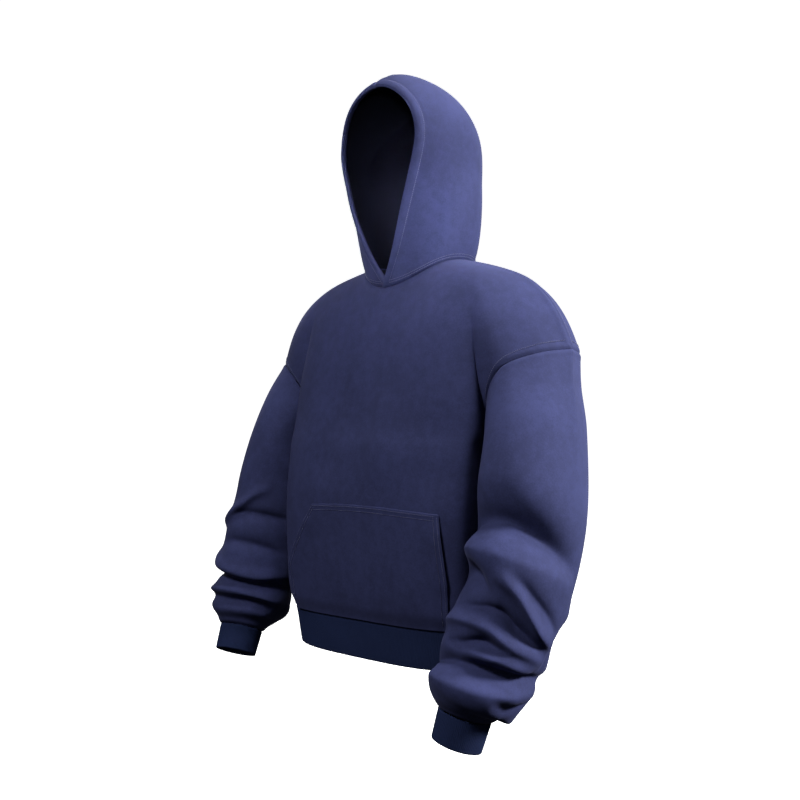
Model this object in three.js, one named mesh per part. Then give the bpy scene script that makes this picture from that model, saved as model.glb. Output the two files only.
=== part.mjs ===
// A pullover hoodie in heavy fleece, filled out as if worn, with nobody inside.
// Millimetres. +X is the wearer's left, -Y the front and +Z up.
// The origin is the middle of the neck, level with the inner ends of the shoulder seams.
import * as THREE from 'three';

// Cloth
const FLEECE = 2.6;
const RIB_KNIT = 2.2;
const SEAM_GAP = 0.3;
const RIB_HEIGHT = 0.8;
const HEM_RIBS = 72;
const CUFF_RIBS = 30;

// Hem
const HEM_SEAM_Z = -597;
const HEM_TILT = 0.066;
const BAND_HEIGHT = 61;

// Torso and shoulders
const ARMPIT_Z = -292;
const NECK_HALF_WIDTH = 96;
const SHOULDER_X = 300;
const RIDGE_SPREAD = 1.1;
const RIDGE_NECK_Y = 4;
const RIDGE_SHOULDER_Y = 6;
const SHOULDER_SLOPE = 0.25;
const SHOULDER_ROUND = 100;
const RIGHT_RAISE = 8;
const RAISE_X = 150;
const RAISE_REACH = 80;
const YOKE_RISE = 370;
const RISE_STEP = 10;
const NECK_FRONT_DROP = 0.36;
const NECK_BACK_DROP = 0.2;

// Cuffs
const CUFF_LENGTH = 42;
const CUFF_TAPER = 2;

// Sleeve top
const LOOP_BLEND = 0.42;
const ARMPIT_FLARE = 14;
const FLARE_LENGTH = 0.04;

// Hood
const HOOD_WIDTH = 115.7;
const HOOD_DEPTH = 114.5;
const HOOD_RISE = 169.9;
const HOOD_MIDDLE_Y = -21.4;
const HOOD_MIDDLE_Z = 147.2;
const HOOD_LOW = -40;
const HOOD_EDGE = -38.8;
const HOOD_DROOP = 32.4;
const HOOD_FULL = 0.139;
const HOOD_LEAN = 47.1;
const HOOD_CHIN = 20.4;
const HOOD_BROW = 2.5;
const HOOD_CROWN = 22;
const HOOD_BLEND = 0.45;
const CASING_WIDTH = 0.09;
const CASING_RISE = 1;

// Pocket. Each side's edge is a share of the way from the centre front to a side seam.
const POCKET_TOP_Z = -407;
const POCKET_TOP = [-0.24, 0.435];
const POCKET_LOW = [-0.42, 0.475];
const POCKET_CORNER = 0.4;
const POCKET_ARCH = 5;
const POCKET_WALL = 2.2;
const POCKET_LIFT = 1.2;
const POCKET_MOUTH_LIFT = 2.2;

// Grid sizes
const YOKE_ROWS = 11;
const NECK_COLUMNS = 6;
const SHOULDER_COLUMNS = 8;
const SLEEVE_RINGS = 26;
const HOOD_ROWS = 11;

// Torso sections from the band's lower edge up. width is a half width, front and back
// are depths from the side seam, and a higher square makes fuller corners.
// An arm presses a side in by dent between two places y.
const TORSO = [
  { z: -658, width: 226, side: -16, front: 140, back: 122, square: 3.4, dent: 14, from: -80, to: -40 },
  { z: -597, width: 240, side: -18, front: 138, back: 130, square: 3.8, dent: 26, from: -95, to: -40 },
  { z: -570, width: 247, side: -20, front: 143, back: 138, square: 4.2, dent: 40, from: -105, to: -40 },
  { z: -500, width: 249, side: -22, front: 147, back: 144, square: 4.6, dent: 45, from: -108, to: -30 },
  { z: -400, width: 249, side: -24, front: 146, back: 146, square: 4.6, dent: 46, from: -100, to: -10 },
  { z: -330, width: 247, side: -24, front: 140, back: 146, square: 4.6, dent: 46, from: -90, to: 20 },
  { z: -307, width: 245, side: -24, front: 136, back: 145, square: 4.6, dent: 43, from: -86, to: 28 },
  { z: -292, width: 243, side: -24, front: 132, back: 144, square: 4.6, dent: 35, from: -84, to: 30 },
];
const DENT_REACH = 50;
const RIGHT_DENT = 0.55;
const TORSO_STEPS = [0, 0.1, 0.24, 0.4, 0.56, 0.72, 0.86, 0.95, 1];
const TORSO_ROWS = TORSO_STEPS.length - 1;

// Armhole seams from the armpit up to the shoulder seam.
const ARMHOLE_FRONT = [
  { at: 0, x: 214, y: -24, z: -292 },
  { at: 0.2, x: 214, y: -64, z: -272 },
  { at: 0.4, x: 222, y: -92, z: -230 },
  { at: 0.6, x: 248, y: -92, z: -186 },
  { at: 0.8, x: 284, y: -50, z: -165 },
  { at: 1, x: 306, y: 8, z: -157 },
];
const ARMHOLE_BACK = [
  { at: 0, x: 214, y: -24, z: -292 },
  { at: 0.2, x: 215, y: 20, z: -272 },
  { at: 0.4, x: 224, y: 58, z: -230 },
  { at: 0.6, x: 250, y: 72, z: -186 },
  { at: 0.8, x: 286, y: 58, z: -165 },
  { at: 1, x: 306, y: 8, z: -157 },
];
// How far the right arm is carried out and forward of the left one.
const RIGHT_OUT = 38;
const RIGHT_FORWARD = 24;
const RIGHT_SPAN = [0.4, 0.95];

// Soft vertical folds of the torso: place across the panel, height range, width, depth.
const FRONT_FOLDS = [
  { across: 0.14, from: -400, to: -190, wide: 0.08, depth: 4 },
  { across: -0.2, from: -400, to: -170, wide: 0.08, depth: -4 },
  { across: 0.42, from: -420, to: -230, wide: 0.09, depth: -5 },
  { across: -0.48, from: -560, to: -200, wide: 0.09, depth: -4 },
];
const BACK_FOLDS = [
  { across: 0.12, from: -590, to: -230, wide: 0.1, depth: -6 },
  { across: -0.28, from: -590, to: -200, wide: 0.11, depth: 6 },
  { across: 0.46, from: -590, to: -200, wide: 0.1, depth: 7 },
  { across: -0.6, from: -590, to: -260, wide: 0.1, depth: -6 },
];

// Sleeve stations from armhole to cuff: centre line and half widths of the section.
const LEFT_ARM = [
  { at: 0, x: 262, y: -10, z: -224, across: 48, deep: 84 },
  { at: 0.1, x: 273, y: -31, z: -268, across: 53, deep: 87 },
  { at: 0.2, x: 286, y: -51, z: -312, across: 63, deep: 92 },
  { at: 0.37, x: 294, y: -76, z: -388, across: 71, deep: 100 },
  { at: 0.57, x: 295, y: -105, z: -479, across: 73, deep: 94 },
  { at: 0.76, x: 288, y: -141, z: -565, across: 71, deep: 78 },
  { at: 0.9, x: 277, y: -176, z: -632, across: 63, deep: 74 },
  { at: 0.965, x: 269, y: -187, z: -656, across: 52, deep: 59 },
  { at: 1, x: 266, y: -192, z: -674, across: 38, deep: 38 },
];
const RIGHT_ARM = [
  { at: 0, x: 286, y: -34, z: -224, across: 50, deep: 86 },
  { at: 0.12, x: 297, y: -58, z: -278, across: 57, deep: 92 },
  { at: 0.24, x: 300, y: -74, z: -333, across: 64, deep: 94 },
  { at: 0.46, x: 300, y: -92, z: -429, across: 67, deep: 94 },
  { at: 0.68, x: 301, y: -124, z: -521, across: 67, deep: 90 },
  { at: 0.87, x: 295, y: -162, z: -603, across: 64, deep: 74 },
  { at: 0.95, x: 290, y: -182, z: -636, across: 52, deep: 57 },
  { at: 1, x: 286, y: -192, z: -657, across: 38, deep: 38 },
];

// Sleeve folds: at is the place along the sleeve and around the middle of the fold
// in degrees, 0 at the front and 90 on the outside. slant and bow bend the line.
const LEFT_FOLDS = [
  { at: 0.4, around: 40, reach: 75, slant: 0.05, bow: 0, wide: 0.05, height: -8 },
  { at: 0.53, around: 30, reach: 80, slant: 0.03, bow: 0, wide: 0.05, height: 8 },
  { at: 0.67, around: 30, reach: 70, slant: 0.04, bow: 0, wide: 0.03, height: -12 },
  { at: 0.73, around: 60, reach: 80, slant: 0.05, bow: 0, wide: 0.028, height: 11 },
  { at: 0.79, around: 50, reach: 80, slant: 0.03, bow: 0, wide: 0.024, height: -12 },
  { at: 0.85, around: 60, reach: 90, slant: 0.03, bow: 0, wide: 0.026, height: 11 },
];
const RIGHT_FOLDS = [
  { at: 0.42, around: 50, reach: 75, slant: 0.05, bow: 0, wide: 0.05, height: 6 },
  { at: 0.56, around: 40, reach: 80, slant: 0.03, bow: 0, wide: 0.04, height: -4 },
  { at: 0.68, around: 50, reach: 80, slant: 0.02, bow: 0, wide: 0.04, height: 6 },
  { at: 0.79, around: 40, reach: 80, slant: 0.02, bow: 0, wide: 0.028, height: -8 },
  { at: 0.86, around: 60, reach: 90, slant: 0.02, bow: 0, wide: 0.03, height: 9 },
];
const FOLD_DROOP = 0.5;

const NAVY = 0x2b3058;
const RIB_NAVY = 0x16244c;

const vec = (x, y, z) => new THREE.Vector3(x, y, z);
const mix = (a, b, t) => a + (b - a) * t;
const clamp = (t) => Math.min(1, Math.max(0, t));
const bell = (t) => Math.exp(-t * t);
const radians = (d) => (d * Math.PI) / 180;

function ease(from, to, place) {
  const t = clamp((place - from) / (to - from));
  return t * t * (3 - 2 * t);
}

// The value of one column of a table at a place, on a smooth curve through its rows.
function read(table, key, place, name) {
  let i = 0;
  while (i < table.length - 2 && place > table[i + 1][key]) i += 1;
  const slope = (k) => {
    const before = table[Math.max(0, k - 1)];
    const after = table[Math.min(table.length - 1, k + 1)];
    return (after[name] - before[name]) / (after[key] - before[key]);
  };
  const a = table[i];
  const b = table[i + 1];
  const span = b[key] - a[key];
  const t = clamp((place - a[key]) / span);
  const bend = span * t * (1 - t) * (slope(i) * (1 - t) - slope(i + 1) * t);
  return mix(a[name], b[name], t * t * (3 - 2 * t)) + bend;
}

const readPoint = (table, place) =>
  vec(read(table, 'at', place, 'x'), read(table, 'at', place, 'y'), read(table, 'at', place, 'z'));

const FRONT = {
  sign: -1,
  depth: 'front',
  arrive: 400,
  arriveRise: -20,
  drop: NECK_FRONT_DROP,
  armhole: ARMHOLE_FRONT,
  folds: FRONT_FOLDS,
};
const BACK = {
  sign: 1,
  depth: 'back',
  arrive: 330,
  arriveRise: 40,
  drop: NECK_BACK_DROP,
  armhole: ARMHOLE_BACK,
  folds: BACK_FOLDS,
};

// One point of the torso: across runs from -1 to 1 between the side seams.
function torsoPoint(face, across, z) {
  const sized = (name) => read(TORSO, 'z', z, name);
  const turn = (Math.PI / 2) * Math.abs(across);
  const s = Math.abs(Math.sin(turn));
  const c = Math.abs(Math.cos(turn));
  const square = sized('square');
  const scale = (s ** square + c ** square) ** (-1 / square);
  const y = sized('side') + face.sign * sized(face.depth) * scale * c;
  const press = sized('dent') * (across < 0 ? mix(RIGHT_DENT, 1, ease(-440, -330, z)) : 1);
  const away = Math.max(0, sized('from') - y, y - sized('to'));
  const dent = press * bell(away / DENT_REACH) * s * s;
  return vec(Math.sign(across) * (sized('width') * scale * s - dent), y, z);
}

// The shoulder line, carried on across the neck.
function ridgePoint(across) {
  const x = SHOULDER_X * Math.abs(across) ** RIDGE_SPREAD;
  const out = Math.max(0, x - NECK_HALF_WIDTH);
  const past = out / (SHOULDER_X - NECK_HALF_WIDTH);
  const inside = (SHOULDER_SLOPE * NECK_HALF_WIDTH) / 2;
  const crown = inside * (1 - Math.min(1, x / NECK_HALF_WIDTH) ** 2);
  const raise = across < 0 ? RIGHT_RAISE * ease(0, NECK_HALF_WIDTH, x) : 0;
  const z = crown - SHOULDER_SLOPE * out - SHOULDER_ROUND * past ** 5
    + raise * bell((x - RAISE_X) / RAISE_REACH);
  return vec(Math.sign(across) * x, mix(RIDGE_NECK_Y, RIDGE_SHOULDER_Y, past), z);
}

function armholePoint(face, side, up) {
  const point = readPoint(face.armhole, up);
  const start = torsoPoint(face, 1, ARMPIT_Z).sub(readPoint(face.armhole, 0));
  point.addScaledVector(start, 1 - ease(0, 0.3, up));
  if (side < 0) {
    const share = ease(...RIGHT_SPAN, up);
    point.set(-point.x - RIGHT_OUT * share, point.y - RIGHT_FORWARD * share, point.z);
  }
  return point;
}

// One point above the armpits: up runs from 0 there to 1 on the shoulder line.
function yokePlain(face, across, up) {
  const start = torsoPoint(face, across, ARMPIT_Z);
  const end = ridgePoint(across);
  const edge = ease(0.55, 1, Math.abs(across));
  const side = Math.sign(across);
  const rise = start.clone().sub(torsoPoint(face, across, ARMPIT_Z - RISE_STEP));
  rise.multiplyScalar(YOKE_RISE / RISE_STEP);
  rise.x = mix(rise.x, side * 8, ease(0.3, 0.6, Math.abs(across)));
  const leave = rise.lerp(vec(side * 20, face.sign * 300, 60), edge);
  const level = -face.sign * mix(face.arrive, 300, edge);
  const arrive = vec(side * mix(0, 40, edge), level, mix(face.arriveRise, -10, edge));
  const square = up * up;
  const cube = square * up;
  return start.multiplyScalar(2 * cube - 3 * square + 1)
    .addScaledVector(leave, cube - 2 * square + up)
    .addScaledVector(end, 3 * square - 2 * cube)
    .addScaledVector(arrive, cube - square);
}

function yokePoint(face, across, up) {
  const point = yokePlain(face, across, up);
  const side = Math.sign(across) || 1;
  const shift = armholePoint(face, side, up).sub(yokePlain(face, side, up));
  return point.addScaledVector(shift, ease(0.45, 1, Math.abs(across)));
}

const NECK_ACROSS = (NECK_HALF_WIDTH / SHOULDER_X) ** (1 / RIDGE_SPREAD);

function neckUp(face, across) {
  const t = clamp(Math.abs(across) / NECK_ACROSS);
  return 1 - face.drop * Math.sqrt(1 - t * t);
}

function foldDepth(face, across, z) {
  let depth = 0;
  for (const fold of face.folds) {
    const along = ease(fold.from, fold.from + 70, z) * (1 - ease(fold.to - 70, fold.to, z));
    depth += fold.depth * along * bell((across - fold.across) / fold.wide);
  }
  return depth;
}

function bodyPoint(face, across, row) {
  if (row <= TORSO_ROWS) {
    const share = TORSO_STEPS[row];
    const z = mix(HEM_SEAM_Z, ARMPIT_Z, share);
    const point = torsoPoint(face, across, z);
    point.y += face.sign * foldDepth(face, across, z);
    point.z += HEM_TILT * point.x * (1 - ease(0, 1, share));
    return point;
  }
  const up = ((row - TORSO_ROWS) / YOKE_ROWS) * neckUp(face, across);
  const point = yokePoint(face, across, up);
  point.y += face.sign * foldDepth(face, across, point.z);
  return point;
}

// Places of the body's columns, one of them on each end of the neck.
function bodyColumns() {
  const half = [];
  for (let i = 1; i <= NECK_COLUMNS; i += 1) {
    half.push(NECK_ACROSS * Math.sin((i / NECK_COLUMNS) * (Math.PI / 2)));
  }
  for (let i = 1; i <= SHOULDER_COLUMNS; i += 1) {
    half.push(mix(NECK_ACROSS, 1, i / SHOULDER_COLUMNS));
  }
  return [...half.map((a) => -a).reverse(), 0, ...half];
}

const COLUMNS = bodyColumns();

// A grid of points, row by row.
function gridOf(rows, columns, place) {
  const grid = [];
  for (let j = 0; j < rows; j += 1) {
    const line = [];
    for (let i = 0; i < columns; i += 1) line.push(place(i, j));
    grid.push(line);
  }
  return grid;
}

const bodyGrid = (face) =>
  gridOf(TORSO_ROWS + YOKE_ROWS + 1, COLUMNS.length, (i, j) => bodyPoint(face, COLUMNS[i], j));

// The frame of a sleeve's section at one place along it.
function sleeveFrame(table, side, at) {
  const place = (t) => {
    const p = readPoint(table, t);
    return vec(side * p.x, p.y, p.z);
  };
  const along = place(Math.min(1, at + 0.01)).sub(place(Math.max(0, at - 0.01))).normalize();
  const outward = vec(side, 0, 0).addScaledVector(along, -side * along.x).normalize();
  const forward = vec(0, -1, 0).addScaledVector(along, along.y);
  forward.addScaledVector(outward, -forward.dot(outward)).normalize();
  return { centre: place(at), along, outward, forward };
}

function sleevePlain(table, side, at, angle) {
  const frame = sleeveFrame(table, side, at);
  const across = read(table, 'at', at, 'across');
  const deep = read(table, 'at', at, 'deep');
  return frame.centre
    .addScaledVector(frame.forward, deep * Math.cos(angle))
    .addScaledVector(frame.outward, across * Math.sin(angle));
}

// The armhole loop from the armpit by the front to the shoulder and down the back.
function loopPoint(side, step) {
  const up = step <= YOKE_ROWS ? step / YOKE_ROWS : 2 - step / YOKE_ROWS;
  return armholePoint(step <= YOKE_ROWS ? FRONT : BACK, side, up);
}

function sleeveFold(folds, at, angle) {
  let height = 0;
  for (const fold of folds) {
    const away = (((angle * 180) / Math.PI - fold.around + 540) % 360) - 180;
    const t = away / fold.reach;
    height += fold.height * bell(t) * bell((at - fold.at - fold.slant * t - fold.bow * t * t) / fold.wide);
  }
  return height;
}

function sleevePoint(arm, at, step) {
  const angle = radians((180 * step) / YOKE_ROWS - 90);
  const point = sleevePlain(arm.table, arm.side, at, angle);
  const fade = 1 - ease(0, LOOP_BLEND, at);
  const shift = loopPoint(arm.side, step).sub(sleevePlain(arm.table, arm.side, 0, angle));
  const under = Math.max(0, -Math.sin(angle)) ** 2;
  const flare = ARMPIT_FLARE * under * (1 - bell(at / FLARE_LENGTH)) * (1 - ease(FLARE_LENGTH, 0.3, at));
  const frame = sleeveFrame(arm.table, arm.side, at);
  point.addScaledVector(shift, fade).addScaledVector(frame.outward, flare);
  const inner = 1 - ease(0.2, 0.9, -Math.sin(angle));
  const ends = ease(0, 0.2, at) * (1 - ease(0.93, 1, at));
  const height = sleeveFold(arm.folds, at, angle) * ends * inner;
  const radial = frame.forward.clone().multiplyScalar(Math.cos(angle))
    .addScaledVector(frame.outward, Math.sin(angle));
  return point.addScaledVector(radial, height).addScaledVector(frame.along, height * FOLD_DROOP);
}

const LEFT = { side: 1, table: LEFT_ARM, folds: LEFT_FOLDS };
const RIGHT = { side: -1, table: RIGHT_ARM, folds: RIGHT_FOLDS };

const sleeveGrid = (arm) =>
  gridOf(SLEEVE_RINGS + 1, 2 * YOKE_ROWS, (i, j) => sleevePoint(arm, j / SLEEVE_RINGS, i));

// The neck seam, from the centre front over the shoulder seam to the centre back.
function neckPoint(side, step) {
  const onFront = step <= NECK_COLUMNS;
  const index = onFront ? step : 2 * NECK_COLUMNS - step;
  const middle = (COLUMNS.length - 1) / 2;
  const face = onFront ? FRONT : BACK;
  return bodyPoint(face, COLUMNS[middle + side * index], TORSO_ROWS + YOKE_ROWS);
}

// A hood half: back runs from the opening to the centre back, up from the neck to the crown.
function hoodPlain(side, back, up) {
  const tilt = radians(mix(HOOD_LOW, 90, up));
  const turn = radians(mix(HOOD_EDGE, 90, back));
  const full = 1 + HOOD_FULL * Math.max(0, Math.sin(2 * tilt));
  const x = HOOD_WIDTH * full * Math.cos(tilt) * Math.cos(turn);
  const y = Math.sin(turn) * Math.sqrt(1 - Math.sin(tilt) ** 2 / 2);
  const z = Math.sin(tilt) * Math.sqrt(1 - Math.sin(turn) ** 2 / 2);
  const droop = HOOD_DROOP * Math.min(0, Math.sin(turn)) ** 2 * Math.max(0, Math.sin(tilt)) ** 2;
  const lean = HOOD_LEAN * Math.max(0, Math.sin(tilt)) ** 2;
  const rim = HOOD_CHIN * bell((up - 0.3) / 0.22) + HOOD_BROW * bell((up - 0.75) / 0.25);
  const ahead = HOOD_MIDDLE_Y + HOOD_DEPTH * full * y - lean - rim * (1 - back) ** 2;
  const crown = HOOD_CROWN * bell((up - 0.84) / 0.17) * ease(0.2, 0.6, back);
  return vec(side * x, ahead + crown, HOOD_MIDDLE_Z + HOOD_RISE * z - droop);
}

function hoodPoint(side, step, up) {
  const back = step / (2 * NECK_COLUMNS);
  const point = hoodPlain(side, back, up);
  const shift = neckPoint(side, step).sub(hoodPlain(side, back, 0));
  return point.addScaledVector(shift, 1 - ease(0, HOOD_BLEND, up));
}

const hoodGrid = (side) =>
  gridOf(HOOD_ROWS + 1, 2 * NECK_COLUMNS + 1, (i, j) => hoodPoint(side, i, j / HOOD_ROWS));

// Points evenly spaced along a closed curve.
function evenRing(curve, count) {
  const fine = 720;
  const points = [];
  for (let k = 0; k <= fine; k += 1) points.push(curve(k / fine));
  const length = [0];
  for (let k = 1; k <= fine; k += 1) length.push(length[k - 1] + points[k].distanceTo(points[k - 1]));
  const ring = [];
  let k = 0;
  for (let n = 0; n < count; n += 1) {
    const wanted = (length[fine] * n) / count;
    while (length[k + 1] < wanted) k += 1;
    const t = (wanted - length[k]) / (length[k + 1] - length[k]);
    ring.push(points[k].clone().lerp(points[k + 1], t));
  }
  return ring;
}

function bandCurve(t, drop) {
  const across = t < 0.5 ? 4 * t - 1 : 3 - 4 * t;
  const point = torsoPoint(t < 0.5 ? FRONT : BACK, across, HEM_SEAM_Z - drop);
  point.z = HEM_SEAM_Z - drop + HEM_TILT * point.x;
  return point;
}

function bandGrid() {
  const drops = [BAND_HEIGHT, BAND_HEIGHT * 0.5, SEAM_GAP];
  return drops.map((drop) => evenRing((t) => bandCurve(t, drop), 2 * HEM_RIBS));
}

function cuffGrid(arm) {
  const frame = sleeveFrame(arm.table, arm.side, 1);
  const radius = read(arm.table, 'at', 1, 'across');
  return [SEAM_GAP, CUFF_LENGTH * 0.5, CUFF_LENGTH].map((drop) =>
    gridOf(1, 2 * CUFF_RIBS, (i) => {
      const angle = (Math.PI * i) / CUFF_RIBS;
      const size = radius - CUFF_TAPER * (drop / CUFF_LENGTH);
      return frame.centre.clone()
        .addScaledVector(frame.along, drop)
        .addScaledVector(frame.forward, size * Math.cos(angle))
        .addScaledVector(frame.outward, size * Math.sin(angle));
    })[0]);
}

// The pocket, on the body's own surface and standing off it at the two mouths.
function pocketPoint(i, j, rows, columns) {
  const up = j / rows;
  const share = (2 * i) / columns - 1;
  const top = POCKET_TOP_Z - POCKET_ARCH * share * share;
  const low = HEM_SEAM_Z + 2;
  const z = mix(low, top, up);
  const slope = clamp(((z - low) / (POCKET_TOP_Z - low) - POCKET_CORNER) / (1 - POCKET_CORNER));
  const [right, left] = [0, 1].map((k) => mix(POCKET_LOW[k], POCKET_TOP[k], slope));
  const across = mix(right, left, (share + 1) / 2);
  const point = torsoPoint(FRONT, across, z);
  const tilted = 1 - ease(0, 1, (z - HEM_SEAM_Z) / (ARMPIT_Z - HEM_SEAM_Z));
  point.z += HEM_TILT * point.x * tilted;
  point.y -= foldDepth(FRONT, across, z);
  const mouth = bell((1 - Math.abs(share)) / 0.2) * ease(0.25, 0.45, up) * (1 - ease(0.8, 1, up));
  return { point, lift: POCKET_LIFT + POCKET_WALL + POCKET_MOUTH_LIFT * mouth };
}

function pocketGrid() {
  const rows = 8;
  const columns = 14;
  const raw = gridOf(rows + 1, columns + 1, (i, j) => pocketPoint(i, j, rows, columns));
  const flat = raw.map((line) => line.map((cell) => cell.point));
  const normals = normalsOf(flat, false, false);
  return raw.map((line, j) =>
    line.map((cell, i) => cell.point.clone().addScaledVector(normals[j][i], cell.lift)));
}

function normalsOf(grid, wrap, flip) {
  const rows = grid.length;
  const columns = grid[0].length;
  return gridOf(rows, columns, (i, j) => {
    const before = wrap ? (i + columns - 1) % columns : Math.max(0, i - 1);
    const after = wrap ? (i + 1) % columns : Math.min(columns - 1, i + 1);
    const across = grid[j][after].clone().sub(grid[j][before]);
    const along = grid[Math.min(rows - 1, j + 1)][i].clone().sub(grid[Math.max(0, j - 1)][i]);
    const normal = across.cross(along).normalize();
    return flip ? normal.negate() : normal;
  });
}

// Gives the points that pieces share at a seam one wall direction.
function joinNormals(pieces) {
  const key = (p) => [p.x, p.y, p.z].map((v) => Math.round(v * 50)).join(' ');
  const sums = new Map();
  const each = (act) => pieces.forEach((piece) =>
    piece.grid.forEach((line, j) => line.forEach((p, i) => act(key(p), piece, j, i))));
  each((name, piece, j, i) => {
    if (!sums.has(name)) sums.set(name, vec(0, 0, 0));
    sums.get(name).add(piece.normals[j][i]);
  });
  each((name, piece, j, i) => piece.normals[j][i].copy(sums.get(name)).normalize());
}

// Turns the wall directions of one row into the plane of its seam.
function flatten(piece, row, axis) {
  for (const normal of piece.normals[row]) normal.addScaledVector(axis, -normal.dot(axis)).normalize();
}

// Keeps the two front edges of the hood apart where they meet at the neck.
function parted(piece, side) {
  piece.grid.forEach((line, j) => {
    line[0].x += side * SEAM_GAP * (1 - ease(0, HOOD_BLEND, j / HOOD_ROWS));
  });
}

// Draws the edges of a piece back from its seams by half the gap.
function drawBack(piece) {
  const { grid, normals, wrap } = piece;
  const rows = grid.length;
  const columns = grid[0].length;
  const moves = gridOf(rows, columns, () => vec(0, 0, 0));
  const move = (j, i, tangent, inside) => {
    const way = normals[j][i].clone().cross(tangent).normalize();
    if (way.dot(inside) < 0) way.negate();
    moves[j][i].addScaledVector(way, SEAM_GAP / 2);
  };
  const column = (i) => (wrap ? (i + columns) % columns : Math.min(columns - 1, Math.max(0, i)));
  const inward = (i, count) => Math.min(count - 2, Math.max(1, i));
  for (const [edge, row, next] of [['low', 0, 1], ['high', rows - 1, rows - 2]]) {
    if (!piece.seams.includes(edge)) continue;
    for (let i = 0; i < columns; i += 1) {
      const tangent = grid[row][column(i + 1)].clone().sub(grid[row][column(i - 1)]);
      move(row, i, tangent, grid[next][wrap ? i : inward(i, columns)].clone().sub(grid[row][i]));
    }
  }
  for (const [edge, i, next] of [['start', 0, 1], ['end', columns - 1, columns - 2]]) {
    if (!piece.seams.includes(edge)) continue;
    for (let j = 0; j < rows; j += 1) {
      const tangent = grid[Math.min(rows - 1, j + 1)][i].clone().sub(grid[Math.max(0, j - 1)][i]);
      move(j, i, tangent, grid[inward(j, rows)][next].clone().sub(grid[j][i]));
    }
  }
  grid.forEach((line, j) => line.forEach((p, i) => p.add(moves[j][i])));
}

// A closed cloth wall: the grid, raised where rise says so, over a plain inside.
function wallGeometry(piece) {
  const { grid, normals, wall, wrap, flip, rise } = piece;
  const rows = grid.length;
  const columns = grid[0].length;
  const points = [];
  for (const inset of [0, wall]) {
    for (let j = 0; j < rows; j += 1) {
      for (let i = 0; i < columns; i += 1) {
        const raised = inset === 0 && rise ? rise(i, j) : 0;
        const p = grid[j][i].clone().addScaledVector(normals[j][i], raised - inset);
        points.push(p.x, p.y, p.z);
      }
    }
  }
  const index = (side, j, i) => (side * rows + j) * columns + (i % columns);
  const faces = [];
  const quad = (a, b, c, d) => faces.push(...(flip ? [a, c, b, a, d, c] : [a, b, c, a, c, d]));
  const mirrored = (i) => piece.mirrored && i >= columns / 2 - 1;
  // Edge faces of two pieces at a seam split along the same diagonal.
  const rank = ([j, i]) => {
    const p = grid[j][i % columns];
    return 0.31 * Math.abs(p.x) + 0.57 * p.y + 0.76 * p.z;
  };
  const cap = (a, b) => {
    const ring = [index(0, ...a), index(1, ...a), index(1, ...b), index(0, ...b)];
    if (rank(a) >= rank(b)) ring.push(ring.shift());
    quad(...ring);
  };
  const steps = wrap ? columns : columns - 1;
  const top = rows - 1;
  for (let i = 0; i < steps; i += 1) {
    for (let j = 0; j < top; j += 1) {
      const out = [index(0, j, i), index(0, j, i + 1), index(0, j + 1, i + 1), index(0, j + 1, i)];
      const into = [index(1, j, i), index(1, j + 1, i), index(1, j + 1, i + 1), index(1, j, i + 1)];
      if (mirrored(i)) {
        quad(out[1], out[2], out[3], out[0]);
        quad(into[1], into[2], into[3], into[0]);
      } else {
        quad(...out);
        quad(...into);
      }
    }
    cap([0, i], [0, i + 1]);
    cap([top, i + 1], [top, i]);
  }
  if (!wrap) {
    const last = columns - 1;
    for (let j = 0; j < top; j += 1) {
      cap([j + 1, 0], [j, 0]);
      cap([j, last], [j + 1, last]);
    }
  }
  const geometry = new THREE.BufferGeometry();
  geometry.setAttribute('position', new THREE.Float32BufferAttribute(points, 3));
  geometry.setIndex(faces);
  geometry.computeVertexNormals();
  return geometry;
}

function clothPiece(name, grid, options) {
  const usual = { wrap: false, flip: false, wall: FLEECE, seams: [], colour: NAVY };
  const piece = { name, grid, ...usual, ...options };
  piece.normals = normalsOf(grid, piece.wrap, piece.flip);
  return piece;
}

function allPieces() {
  const all = ['low', 'high', 'start', 'end'];
  const casing = (i) => (i / (2 * NECK_COLUMNS) <= CASING_WIDTH ? CASING_RISE : 0);
  const rib = (i) => (i % 2 ? 0 : RIB_HEIGHT);
  const ribbed = { wrap: true, wall: RIB_KNIT, colour: RIB_NAVY, rise: rib };
  const hooded = { seams: ['low', 'high', 'end'], rise: casing };
  const pieces = {
    front: clothPiece('body_front', bodyGrid(FRONT), { seams: all, mirrored: true }),
    back: clothPiece('body_back', bodyGrid(BACK), { seams: all, mirrored: true, flip: true }),
    left: clothPiece('sleeve_left', sleeveGrid(LEFT), { seams: all, wrap: true, flip: true }),
    right: clothPiece('sleeve_right', sleeveGrid(RIGHT), { seams: all, wrap: true }),
    hoodLeft: clothPiece('hood_left', hoodGrid(1), hooded),
    hoodRight: clothPiece('hood_right', hoodGrid(-1), { ...hooded, flip: true }),
    band: clothPiece('hem_band', bandGrid(), ribbed),
    cuffLeft: clothPiece('cuff_left', cuffGrid(LEFT), { ...ribbed, flip: true }),
    cuffRight: clothPiece('cuff_right', cuffGrid(RIGHT), ribbed),
    pocket: clothPiece('pocket', pocketGrid(), { wall: POCKET_WALL }),
  };
  const { front, back, left, right, hoodLeft, hoodRight } = pieces;
  joinNormals([front, back, left, right, hoodLeft, hoodRight]);
  parted(hoodLeft, 1);
  parted(hoodRight, -1);
  const hemAxis = vec(-HEM_TILT, 0, 1).normalize();
  flatten(front, 0, hemAxis);
  flatten(back, 0, hemAxis);
  pieces.band.grid.forEach((line, j) => flatten(pieces.band, j, hemAxis));
  for (const [sleeve, cuff, arm] of [['left', 'cuffLeft', LEFT], ['right', 'cuffRight', RIGHT]]) {
    const axis = sleeveFrame(arm.table, arm.side, 1).along;
    flatten(pieces[sleeve], SLEEVE_RINGS, axis);
    pieces[cuff].grid.forEach((line, j) => flatten(pieces[cuff], j, axis));
  }
  return Object.values(pieces);
}

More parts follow.
